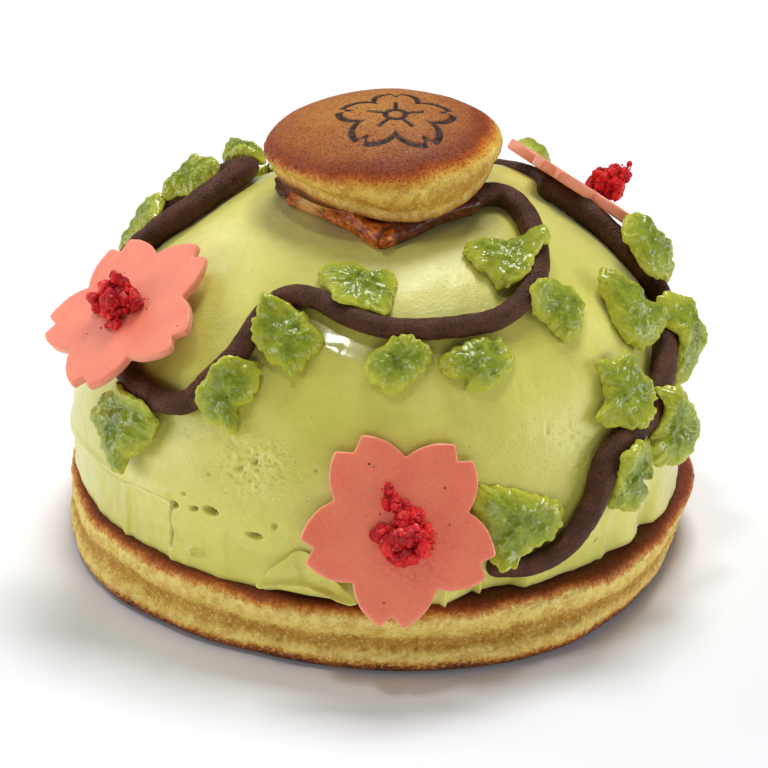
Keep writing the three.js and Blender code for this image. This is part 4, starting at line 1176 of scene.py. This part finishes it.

# %% [markdown]
# ## Leaves of green paste
#
# Each leaf is a dab of sweet green paste pushed from a small bag: lumpy, wet, thick in the middle, with
# a thin ragged rim that light shines through. So a leaf is not a flat shape with a bump map but a
# little landscape. Its outline is a smooth line through a few listed corners, its rings run from
# the middle of its top out over a rounded rim and back underneath, and every point is dropped onto the
# cream, or onto a vine where one passes below.

# %% Leaf outlines
LEAF_THICKNESS = 2.9
LEAF_LIFT = 2.2
LEAF_EDGE = 1.1
LEAVES = {
    "leaf_left_1": ((-118, 42), 4.1, (-55, 38), [
        (-1.9, 3.1), (-0.5, 2.4), (1.8, 3.5), (3.5, 3.2), (3.6, 1.2), (2.6, -1.3), (0.4, -3.4),
        (-0.7, -5), (-2, -3.6), (-2.7, -0.8)]),
    "leaf_left_2": ((-111, 50.5), 3.2, (-88, 38), [
        (-1.8, 3), (0.9, 2.3), (3.4, 1.5), (2.4, -1.4), (1.6, -4), (0.5, -6.6), (-0.7, -4),
        (-3.5, -1.8), (-3.2, 0.8)]),
    "leaf_left_3": ((-130, 36), 4, (-50, 45), [
        (-3.4, -1.4), (-3.5, 0.5), (-2.5, 1.1), (0.2, 1.2), (2.4, 1.6), (4.4, 0.5), (4.8, -1.6),
        (1.6, -2.6), (-1.8, -2.6)]),
    "leaf_left_4": ((-52, 69), 2.4, (-48, 24), [
        (-4.2, 4.6), (-2.7, 5.6), (0.2, 5), (5, 4.5), (5.6, 1.2), (4.5, -1.2), (2.7, -2.7),
        (2.4, -4.9), (1.1, -5.5), (-0.8, -4.4), (-4.4, -1.4), (-6.2, 0)]),
    "leaf_front_1": ((-32, 57), LEAF_LIFT, None, [
        (-0.6, 4.2), (0.8, 5.1), (2.9, 4.9), (3.9, 2.9), (3.7, 0.4), (2.1, -1.1), (3.1, -3.8),
        (2.5, -4.8), (0.8, -3.9), (-1.6, -3.6), (-2.7, -1.4), (-1.9, 1.4)]),
    "leaf_front_2": ((-23, 44), LEAF_LIFT, None, [
        (-4.4, 2.8), (-2, 3.2), (1, 2.8), (2, 1.8), (4.2, 0.6), (4.7, -0.8), (3.8, -2.7),
        (2.4, -6.1), (0.5, -4.9), (-1.7, -4.7), (-4.2, -1.7), (-4.1, 0.5)]),
    "leaf_front_3": ((-10, 34), LEAF_LIFT, None, [
        (-5.1, 2.3), (-4.2, 3.7), (-0.9, 4.2), (2.3, 2.4), (4.1, 3.3), (5.1, 1.3), (4.7, -4),
        (1, -3.8), (-1.4, -4.3), (-2.4, -2.4), (-4.4, 0)]),
    "leaf_front_4": ((3, 47), LEAF_LIFT, None, [
        (-0.2, 2.5), (3.1, 2), (4.6, 0.5), (3.2, -1.6), (0.2, -4.1), (-1.6, -4), (-3.2, -3.1),
        (-4.2, -0.8), (-3.6, 0.8), (-1.2, 2)]),
    "leaf_front_5": ((21, 48), LEAF_LIFT, None, [
        (-4.9, 0.8), (-2.9, 1.8), (-0.4, 2.4), (1.3, 2.7), (2.6, 2.2), (3.9, 2.4), (5.2, -0.5),
        (3.2, -2.5), (0.4, -3.8), (-1.9, -3.6), (-1.8, -2), (-3.9, -1.8)]),
    "leaf_front_6": ((26, 76), LEAF_LIFT, None, [
        (-6, 6), (-2.5, 5.6), (2.8, 3.4), (7.2, 1.2), (5.3, -1.9), (1.9, -3.6), (-0.5, -4.1),
        (-1.5, -4.7), (-3.6, -4.6), (-5.2, -2.6), (-6.2, 2)]),
    "leaf_right_1": ((45, 30), LEAF_LIFT, None, [
        (-4.7, 3), (-1.6, 3.9), (2.4, 1.5), (5.2, 0.6), (6.2, -1), (5, -2.1), (3, -2.5),
        (1.2, -3.5), (-1, -4.8), (-4.9, -4.2), (-4.6, -2.4), (-5.1, 0.1)]),
    "leaf_right_2": ((48, 42), LEAF_LIFT, None, [
        (-1, 2.6), (2.2, 2.6), (4.7, 1), (4.9, -1.4), (1.6, -4.7), (-1.2, -5.4), (-2.6, -3.6),
        (-3.2, -1.8), (-4.6, 0.2), (-4.8, 1.8), (-3.4, 2.8)]),
    "leaf_right_3": ((143, 45), 6, (120, 50), [
        (-3.9, 2.4), (-1, 2.6), (1.6, 2), (3.4, 0.6), (3, -1.4), (1.2, -2.8), (-2, -2.4),
        (-3.7, -0.2)]),
    "leaf_right_4": ((91.5, 47), 4.9, (62, 35), [
        (-1.7, 3.4), (0, 4.1), (1.8, 3.8), (3.6, 2.6), (3.6, 0.9), (5.8, -1.8), (5.6, -3.7),
        (3.6, -4.6), (3.3, -5.6), (1.2, -5.8), (-1, -4.2), (-2.7, -2), (-2.4, 0.8), (-3.2, 2.4)]),
    "leaf_right_5": ((70, 50), 2.2, (50, 38), [
        (-2.7, 5.4), (-0.9, 5.9), (2.8, 2), (3.4, -0.2), (6, -2.4), (4.6, -4), (1.6, -5.6),
        (-1.4, -5.3), (-2.8, -4.5), (-4.2, -1.2), (-3.5, 2.2)]),
    "leaf_right_6": ((81, 61), 4, (55, 25), [
        (-2.2, 6.2), (0, 6.2), (2.2, 5.2), (4.2, 4.2), (4, 1), (4.6, -1.8), (2, -3.6),
        (-1, -4.9), (-4.2, -5.3), (-5.2, -4.4), (-3.5, -1.2), (-3, 2)]),
    "leaf_right_7": ((54, 60), 2.2, (46, 30), [
        (-2.8, 4.2), (-1.4, 4.7), (0.4, 4.1), (2.6, 4.7), (3.6, 2.2), (5.6, -1.3), (3.8, -2.8),
        (0.1, -4.7), (-3.1, -4.4), (-5.8, -1.8), (-3.8, -0.6), (-3.1, 1.8)]),
    "leaf_right_8": ((64, 70), 4, (45, 20), [
        (-1.6, 5.7), (2.5, 4.2), (3.7, 2), (4.4, -2.2), (2.3, -3.4), (0.8, -4.7), (-3.6, -4.2),
        (-5.9, -3.2), (-6, -1.2), (-3.6, 1.6), (-3, 4)]),
    "leaf_right_9": ((50, 73), 2.2, (42, 18), [
        (1.4, 4.1), (4, 2.6), (4.7, 0), (3.6, -2), (2, -1.2), (2.3, -3.8), (0, -5.1),
        (-3.8, -3.4), (-3.1, -0.6), (-4.1, 1.8), (-2.6, 3.6)]),
}
BACK_LEAVES = [(162, 41), (156, 53), (174, 50), (163, 64), (174, 71), (210, 38), (217, 51), (222, 68)]


def dice(seed):
    """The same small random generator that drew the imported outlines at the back."""
    state = seed
    while True:
        state = state * 16807 % 2147483647
        yield state / 2147483647


def lobed_outline(draw, corners=11):
    tail = 6 + int(next(draw) * 3)
    outline = []
    for i in range(corners):
        angle = math.pi / 2 - i / corners * 2 * math.pi
        reach = 5.8 if i == tail else 3.6 + 1.2 * (i % 2) * next(draw) + 0.5 * next(draw)
        outline.append((reach * math.cos(angle), reach * math.sin(angle)))
    return outline


for i, at in enumerate(BACK_LEAVES):
    LEAVES[f"leaf_back_{i + 1}"] = (at, LEAF_LIFT, None, lobed_outline(dice(101 + 37 * i)))
print(len(LEAVES), "leaves")

# %% What a leaf rests on
DRAPE = 1.2  # how gently a leaf comes down beside a vine, in half widths


def support_height(place):
    """How high above the cream a leaf passes there, to lie softly over the vines."""
    bearing, polar, _ = dome_place(place)
    here = dome_point(bearing, polar, VINE_LIFT)
    close = np.linalg.norm(vine_samples - here.reshape(-1, 3).mean(0), axis=1) < 14
    rise = np.zeros(here.shape[:-1])
    for sample_point, width in zip(vine_samples[close], sample_widths[close]):
        girth = width / 2 + 0.2
        crest = VINE_LIFT + girth * VINE_THICKNESS / VINE_WIDTH
        nearness = np.linalg.norm(here - sample_point, axis=-1) / (DRAPE * girth)
        rise = np.maximum(rise, crest * np.exp(-(nearness**2)))
    return rise


def soft_maximum(a, b, blend):
    return (a + b + np.sqrt((a - b) ** 2 + blend**2)) / 2


resting = support_height(dome_point(*LEAVES["leaf_front_1"][0])[None])
print("the middle of the first leaf in front rests", resting.round(1), "mm above the cream")

# %% Leaf rings
LEAF_COLUMNS = 124


def leaf_rings(at, rise, facing, outline, seed):
    """A lumpy dab on a leaf's outline, and how thin the paste is at each point."""
    normal = dome_normal(*at)
    level_facing = (math.degrees(math.atan2(normal[0], -normal[1])), math.degrees(math.asin(normal[2])))
    side, up, _ = facing_axes(*(facing or level_facing))
    middle = dome_point(*at, rise)
    rim = spline(outline, LEAF_COLUMNS, closed=True)
    ragged = extended(rim, seed * 7)
    rim = rim * (1 + 0.06 * grain(ragged, 1.4, seed, 2) + 0.055 * ripple(ragged, 0.6, seed + 5))[:, None]
    centre = rim.mean(0)
    steps = [(spread, 1) for spread in np.sin(np.linspace(0.05, math.pi / 2, 25))]
    steps += [(spread, -1) for spread in np.sin(np.linspace(math.pi / 2, 0.1, 9))[1:]]
    half_edge = LEAF_EDGE / 2
    rings, thin = [], []
    for spread, face in steps:
        flat_place = centre + (rim - centre) * spread
        planar = middle + flat_place[:, :1] * side + flat_place[:, 1:] * up
        bearing, polar, lift = dome_place(planar)
        resting = support_height(planar) - 0.05
        foot = soft_maximum(resting, lift - LEAF_THICKNESS / 2, 0.5) if facing else resting
        if face > 0:
            lump_place = extended(flat_place, seed * 11)
            lumps = 0.50 * grain(lump_place, 2.6, seed + 9, 2) + 0.24 * ripple(lump_place, 1.0, seed + 13)
            height = half_edge + (LEAF_THICKNESS - half_edge - 0.5 + lumps) * (1 - spread**2.8) ** 0.55
        else:
            height = half_edge * (1 - (1 - spread**5) ** 0.6)
        rings.append(dome_point(bearing, polar, foot + height))
        thin.append(np.full(LEAF_COLUMNS, spread**3 if face > 0 else 1.0))
    return np.array(rings), np.array(thin)


print("each ring of a leaf has", LEAF_COLUMNS, "points")

# %% Leaf finish
paste = Finish(
    "green_paste", IOR=1.3, Coat_Weight=0.6, Coat_Roughness=0.04,
    Subsurface_Weight=0.22, Subsurface_Scale=0.0014, Subsurface_Radius=(0.8, 1.0, 0.2),
)
wander = paste.maths("MULTIPLY_ADD", paste.noise(2.2, 4), 0.9, -0.45)
shade = paste.plus(paste.times(paste.attribute("thin"), 0.62), paste.plus(wander, 0.28))
tone = paste.ramp(
    shade, (0.02, 92, 108, 14), (0.28, 124, 140, 20), (0.55, 156, 166, 36), (0.85, 188, 190, 50)
)
tone = paste.tint(tone, paste.patches(0.7, 3, 0.52, 0.68), 0.35, (190, 192, 64))
paste.colour(paste.tint(tone, paste.cells(1.5, 0.09, 0.05), 0.75, (50, 52, 12)))
paste.roughness(1.1, 0.38, 0.66, 0.40, 0.65)
paste.relief(paste.plus(paste.noise(0.36, 4, 0.65), paste.times(paste.noise(0.9, 2), 0.8)), 0.22)
print("the green paste has", len(paste.tree.nodes), "nodes")

# %% Leaves
def leaf_grain(points):
    return 0.22 * grain(points, 0.8, 151, 3) + 0.16 * pebbles(points, 1.0, 155) - 0.08


for seed, (name, (at, rise, facing, outline)) in enumerate(LEAVES.items()):
    rings, thin = leaf_rings(at, rise, facing, outline, seed + 200)
    leaf_mesh = skin("paste_" + name, rings)
    roughen(leaf_mesh, leaf_grain)
    paint(leaf_mesh, thin=thin)
    serve(leaf_mesh, paste, "leaf", name)

# %% [markdown]
# ## A curl of cream
#
# At the front, where the knife left the base, a flake of cream has come away from the dome's lower edge
# and curled outward. It is made as the leaves are, from rings inside an outline, but on a flat plane
# that leans back against the dome, so that its upper rim stands away and casts a shadow.

# %% Curl of cream
LIP_PLACE = (-12, 85, 1.3)  # bearing, polar angle and lift
LIP_MIDDLE = np.array([0.6, 0.5])
LIP_FACING = (-13, 42)
LIP_OUTLINE = [
    (-5.0, -1.5), (-4.4, -0.3), (-3.4, 0.9), (-2.0, 2.2), (-0.5, 3.4), (0.9, 3.4), (2.2, 2.0), (4.2, 1.0),
    (6.4, -0.4), (8.0, -1.7), (6.8, -2.1), (4.9, -1.7), (2.6, -1.0), (0.3, -0.7), (-2.6, -1.1),
]


def curl_rings():
    """A lifted flake of cream: a thin dab whose upper rim stands away from the dome."""
    side, up, out = facing_axes(*LIP_FACING)
    rim = spline(LIP_OUTLINE, 160, closed=True)
    rim = rim + 0.10 * np.column_stack([ripple(extended(rim, k), 0.9, 61 + k) for k in (0, 1)])
    steps = [(s, 1) for s in np.linspace(0.06, 1, 18)] + [(s, -1) for s in (0.98, 0.85, 0.6, 0.3, 0.1)]
    rings = []
    for spread, face in steps:
        flat = LIP_MIDDLE + (rim - LIP_MIDDLE) * spread
        height = 1.3 * smoothstep(flat[:, 1], -0.6, 2.6) * spread**2 - 1.1 * (1 - spread**2)
        height += 0.12 * grain(extended(flat, 0), 1.2, 65, 2)
        height += 0.55 * (1 - spread**4) if face > 0 else -0.5
        rings.append(dome_point(*LIP_PLACE) + np.column_stack([flat, height]) @ np.stack([side, up, out]))
    return np.array(rings)


lip_mesh = skin("cream_curl", curl_rings())
paint(lip_mesh, **{mark: np.zeros(len(lip_mesh.vertices)) for mark in ("hollow", "wet", "rough")})
serve(lip_mesh, cream, "cream", "cream_dome")

# %% [markdown]
# ## Blossoms and their crumbs
#
# The cherry blossoms are stamped from a thin sheet of pink chocolate or paste: five petals, each with
# the notch that tells a cherry from a plum, and a rim drawn paler. One outline makes
# all four, with its corners softened. On each lies a pinch of freeze-dried raspberry: rounded lumps,
# each a drop of the berry, over which finer grains have settled. Some of it has stained the paste.

# %% Blossom sizes and places
BLOSSOM_THICKNESS = 1.1
BLOSSOM_TIP = 12.2
BLOSSOM_NOTCH = 10.7
BLOSSOM_VALLEY = 8.6
PETAL_SWELL = 11.3  # how far out a petal's flank is drawn
NO_PETAL = 9  # a number that no petal has
BLOSSOMS = {
    # at: bearing and polar angle; facing: bearing and elevation; wide_petal: which of the five is wider
    # heap: x, y, half length, half width and height of each mound
    # specks: x, y and radius of dark specks in the paste
    "front": dict(at=(4.4, 74.1), rise=2.4, facing=(5, 27), spin=48.5, size=1.01, wide_petal=1,
                  heap=[(0.8, -1.5, 3.8, 2.8, 2.1), (1.4, 1.2, 1.7, 1.1, 1.4), (0.2, 2.4, 1.2, 1.0, 1.2),
                        (-1.1, 3.3, 1.1, 1.0, 1.1), (-1.5, 4.5, 0.7, 0.7, 0.8), (-2.3, -0.7, 1.2, 1.2, 1.2),
                        (0.6, -3.5, 1.6, 1.0, 1.2)],
                  specks=[(-3.7, 7.91, 0.2), (-3.1, 7.54, 0.13), (5.58, 4.88, 0.2), (-2.04, -9.06, 0.16)]),
    "left": dict(at=(-63.4, 52.6), rise=3.9, facing=(-55.3, 53.5), spin=3.7, size=1.02, wide_petal=NO_PETAL,
                 heap=[(-0.6, -0.1, 2.5, 2.5, 3.2), (-1.9, 0.3, 1.5, 1.5, 3.8), (-0.9, 1.8, 1.0, 1.0, 4.7),
                       (-3.3, -1.5, 1.0, 1.0, 2.9), (1.6, 1.1, 1.2, 1.2, 1.6), (0.7, -2.4, 1.1, 1.1, 1.2)],
                 specks=[(-5.41, 3.78, 0.16), (-1.79, -5.59, 0.16), (10.41, 2.08, 0.16)]),
    "right": dict(at=(118.9, 42.1), rise=3.15, facing=(119.3, 53.5), spin=43, size=1, wide_petal=NO_PETAL,
                  thick=1.5,
                  heap=[(-0.7, -0.8, 1.3, 1.3, 3.8), (-2.2, -2.3, 1.3, 1.3, 6.1),
                        (-1.4, -1.4, 1.2, 1.2, 4.8)],
                  specks=[(4, 3, 0.16), (-5, 4, 0.16)]),
    "back": dict(at=(196, 66), rise=5.2, facing=(196, 32), spin=33, size=1, wide_petal=NO_PETAL,
                 heap=[(0.3, -1, 2.6, 2.4, 2.4), (1.8, 2, 1.4, 1.4, 1.7)],
                 specks=[(-4, 5, 0.16), (5, -4, 0.2)]),
}
print(len(BLOSSOMS), "blossoms")

# %% Blossom outline
def polar_point(turn, radius):
    return radius * np.array(cos_sin(turn))


def petal_flank(start, swell, end, count=26):
    share = np.linspace(0, 1, count, endpoint=False)[:, None]
    return start * (1 - share) ** 2 + 2 * swell * share * (1 - share) + end * share**2


def softened(line, radius, count):
    """A closed line as `count` even points, with its corners rounded off."""
    line = np.vstack([line, line[:1]])
    even = evenly(line, count, closed=True)
    shifts = np.arange(-5, 6)
    weights = bell(shifts * line_length(line) / count, radius)
    return sum(np.roll(even, shift, axis=0) * w for shift, w in zip(shifts, weights / weights.sum()))


def blossom_outline(wide_petal):
    half, flank = 36, 24.3  # degrees from a petal's middle to its valleys, and to its widest places
    parts = []
    for petal in range(5):
        tip = 8.8 if petal == wide_petal else 6.8
        turn = petal * 2 * half
        left, right_tip = polar_point(turn - tip, BLOSSOM_TIP), polar_point(turn + tip, BLOSSOM_TIP)
        notch = polar_point(turn, BLOSSOM_NOTCH)
        valley, next_valley = (polar_point(turn + side * half, BLOSSOM_VALLEY) for side in (-1, 1))
        parts.append(petal_flank(valley, polar_point(turn - flank, PETAL_SWELL), left))
        parts.append(petal_flank(left, (left + notch) / 2, notch, 7))
        parts.append(petal_flank(notch, (right_tip + notch) / 2, right_tip, 7))
        parts.append(petal_flank(right_tip, polar_point(turn + flank, PETAL_SWELL), next_valley))
    return softened(np.vstack(parts), 0.34, 300)


print("blossom outline", len(blossom_outline(NO_PETAL)), "points")

# %% Blossom rings
def blossom_rings(flower, seed):
    """A plaque at the origin, and how close to its rim each point is."""
    c, s = cos_sin(flower["spin"])
    shape = blossom_outline(flower["wide_petal"]) * flower["size"] @ np.array([[c, s], [-s, c]])
    half = flower.get("thick", BLOSSOM_THICKNESS) / 2
    steps = [(share, half, 0.0) for share in np.linspace(0.05, 0.93, 14)]
    for a in np.linspace(0.15, 2.95, 10):
        across, up = math.sin(a) ** 0.6, math.copysign(abs(math.cos(a)) ** 0.6, math.cos(a))
        steps.append((1 - 0.035 * (1 - across), half * up, min(1, 1.3 * math.sin(a))))
    steps += [(share, -half, 0.0) for share in np.linspace(0.9, 0.1, 5)]
    rings = []
    for share, z, _ in steps:
        ring = extended(shape * share, z)
        ring[:, 2] += 0.12 * ripple(ring * (1, 1, 0) + seed * 17.0, 8, seed)
        ring[:, :2] += 0.05 * share * np.column_stack([ripple(ring, 0.8, seed + k) for k in (1, 2)])
        rings.append(ring)
    return np.array(rings), np.array([np.full(len(shape), pale) for _, _, pale in steps])


def place_plaque(points, flower):
    return points @ np.stack(facing_axes(*flower["facing"])) + dome_point(*flower["at"], flower["rise"])


print("blossom rings", blossom_rings(BLOSSOMS["front"], 300)[0].shape)

# %% Blossom finish
petal = Finish(
    "salmon_plaque", IOR=1.42, Coat_Weight=0.7, Coat_Roughness=0.45, Sheen_Weight=0.25,
    Subsurface_Weight=0.25, Subsurface_Scale=0.001, Subsurface_Radius=(1.0, 0.5, 0.3),
)
pink = petal.ramp(petal.noise(5, 3), (0.3, 230, 106, 72), (0.7, 238, 122, 82))
pink = petal.tint(pink, petal.patches(0.35, 3, 0.45, 0.7), 0.22, (246, 156, 122))
pink = petal.tint(pink, petal.cells(1.9, 0.09, 0.04), 0.35, (150, 70, 70))
pink = petal.tint(pink, petal.attribute("rim"), 0.4, (248, 178, 140))
powder = petal.patches(0.5, 4, 0.42, 0.66, rough=0.7)
for flower in BLOSSOMS.values():
    x, y, long, wide, height = flower["heap"][0]
    heart = place_plaque(np.array([x + 0.8, y - 0.8, 0]), flower)
    stain = petal.times(petal.near(heart, (long + wide) * 0.95, 0.35), 0.75)
    pink = petal.tint(pink, stain, powder, (206, 52, 50))
    for x, y, radius in flower["specks"]:
        speck = petal.near(place_plaque(np.array([x, y, BLOSSOM_THICKNESS / 2]), flower), radius * 1.15)
        pink = petal.tint(pink, speck, 0.85, (74, 24, 34))
petal.colour(pink)
petal.roughness(1.2, 0.35, 0.65, 0.42, 0.58)
petal.relief(petal.noise(0.3, 3), 0.02, 0.5)
print("the salmon plaque has", len(petal.tree.nodes), "nodes")

# %% Blossoms
for seed, (name, flower) in enumerate(BLOSSOMS.items()):
    rings, rim = blossom_rings(flower, seed + 300)
    plaque_mesh = skin("plaque_" + name, place_plaque(rings, flower))
    paint(plaque_mesh, rim=rim)
    serve(plaque_mesh, petal, "blossom", "blossom_" + name)

# %% Crumb shapes
LUMP_SIZES = (0.45, 0.9)  # radius of the berry's drops
GRAIN_SIZES = (0.08, 0.2)  # radius of the grains on them
STRAY_GRAINS = 14  # round each heap


def ball_shape(subdivisions):
    """A ball of triangles: each lump and grain is a dented copy of one."""
    ball = bmesh.new()
    bmesh.ops.create_icosphere(ball, subdivisions=subdivisions, radius=1)
    points = np.array([v.co[:] for v in ball.verts])
    faces = np.array([[v.index for v in f.verts] for f in ball.faces])
    ball.free()
    return points, faces


LUMP, GRAIN = ball_shape(2), ball_shape(1)

print("a lump has", len(LUMP[1]), "faces, a grain", len(GRAIN[1]))

# %% Crumb heaps
def crumb_heap(mounds, draw):
    """Points, faces and a shade for each point of a heap of crumbs on a plane at z = 0."""
    points, faces, shades = [], [], []

    def add(kind, middle, size, shade, dents):
        ball, ball_faces = kind
        axis = Vector(draw.normal(size=3)).normalized()
        turn = np.array(Matrix.Rotation(draw.uniform(0, 6.28), 3, axis))
        shape = ball * (1 + dents(ball * size + middle)).reshape(-1, 1) * size * draw.uniform(0.75, 1.2, 3)
        faces.append(ball_faces + sum(len(p) for p in points))
        points.append(shape @ turn.T + middle)
        shades.append(np.full(len(ball), shade))

    def rough(place):
        return 0.16 * ripple(place, 0.5, 171) + 0.14 * ripple(place, 0.22, 173)

    def angular(place):
        return draw.uniform(-0.35, 0.3, len(place))

    def on_mound(mound, reach):
        x, y, long, wide, height = mound
        turn, steep = draw.uniform(0, 2 * math.pi), math.asin(draw.uniform(0, 1) ** 0.9)
        out, up = reach * math.cos(steep), reach * math.sin(steep)
        return np.array([x + long * out * math.cos(turn), y + wide * out * math.sin(turn), height * up])

    for mound in mounds:
        x, y, long, wide, height = mound
        skin_area = long * wide + (long + wide) * height
        # the buried lumps in the middle take the darkest tone, 0.1: painted shade deep in the heap
        for _ in range(6):
            middle = np.array([x, y, height * 0.3]) + draw.uniform(-0.3, 0.3, 3) * (long, wide, height)
            add(LUMP, middle, 0.5 * min(long, wide, height), 0.1, rough)
        for _ in range(int(2.6 * skin_area)):
            middle = on_mound(mound, draw.uniform(0.68, 0.95))
            size = draw.uniform(*LUMP_SIZES) * min(1, 0.5 + 0.3 * wide)
            add(LUMP, middle, size, draw.uniform(0, 1), rough)
        for _ in range(int(6 * skin_area)):
            middle = on_mound(mound, draw.uniform(0.86, 1.0))
            add(GRAIN, middle, draw.uniform(*GRAIN_SIZES), draw.uniform(0, 1), angular)
    for _ in range(STRAY_GRAINS):
        x, y, long, wide, _ = mounds[draw.integers(len(mounds))]
        turn, reach = draw.uniform(0, 2 * math.pi), 1 + abs(draw.normal(0.1, 0.3))
        away_x, away_y = (long + 0.3) * math.cos(turn), (wide + 0.3) * math.sin(turn)
        middle = np.array([x + reach * away_x, y + reach * away_y, 0.03])
        add(GRAIN, middle, draw.uniform(0.05, 0.16), draw.uniform(0, 1), angular)
    return np.vstack(points), np.vstack(faces), np.concatenate(shades)


print("round each heap lie", STRAY_GRAINS, "stray grains")

# %% Crumbs
berry = Finish(
    "dried_raspberry", IOR=1.4,
    Subsurface_Weight=0.25, Subsurface_Scale=0.0006, Subsurface_Radius=(1.0, 0.12, 0.12),
)
depth = berry.maths("MULTIPLY_ADD", berry.noise(0.7, 3), 0.8, berry.times(berry.attribute("shade"), 0.5))
red = berry.ramp(depth, (0.25, 118, 2, 12), (0.50, 186, 8, 18), (0.80, 224, 22, 26), (1.0, 238, 74, 64))
berry.colour(red)
berry.roughness(0.5, 0.35, 0.65, 0.34, 0.7)
berry.relief(berry.noise(0.2, 4), 0.05, 0.8)

for seed, (name, flower) in enumerate(BLOSSOMS.items()):
    points, faces, shades = crumb_heap(flower["heap"], np.random.default_rng(400 + seed))
    points[:, 2] = np.maximum(points[:, 2], -0.05) + flower.get("thick", BLOSSOM_THICKNESS) / 2
    heap_mesh = bpy.data.meshes.new("raspberry_" + name)
    heap_mesh.from_pydata((place_plaque(points, flower) * MM).tolist(), [], faces.tolist())
    heap_mesh.update()
    paint(heap_mesh, shade=shades)
    serve(heap_mesh, berry, "raspberry", "crumbs_" + name, smooth=False)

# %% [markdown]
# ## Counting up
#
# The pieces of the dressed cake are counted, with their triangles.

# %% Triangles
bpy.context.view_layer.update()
triangles = sum(len(face.vertices) - 2 for piece in pieces for face in piece.data.polygons)
print(len(pieces), "pieces,", triangles, "triangles")
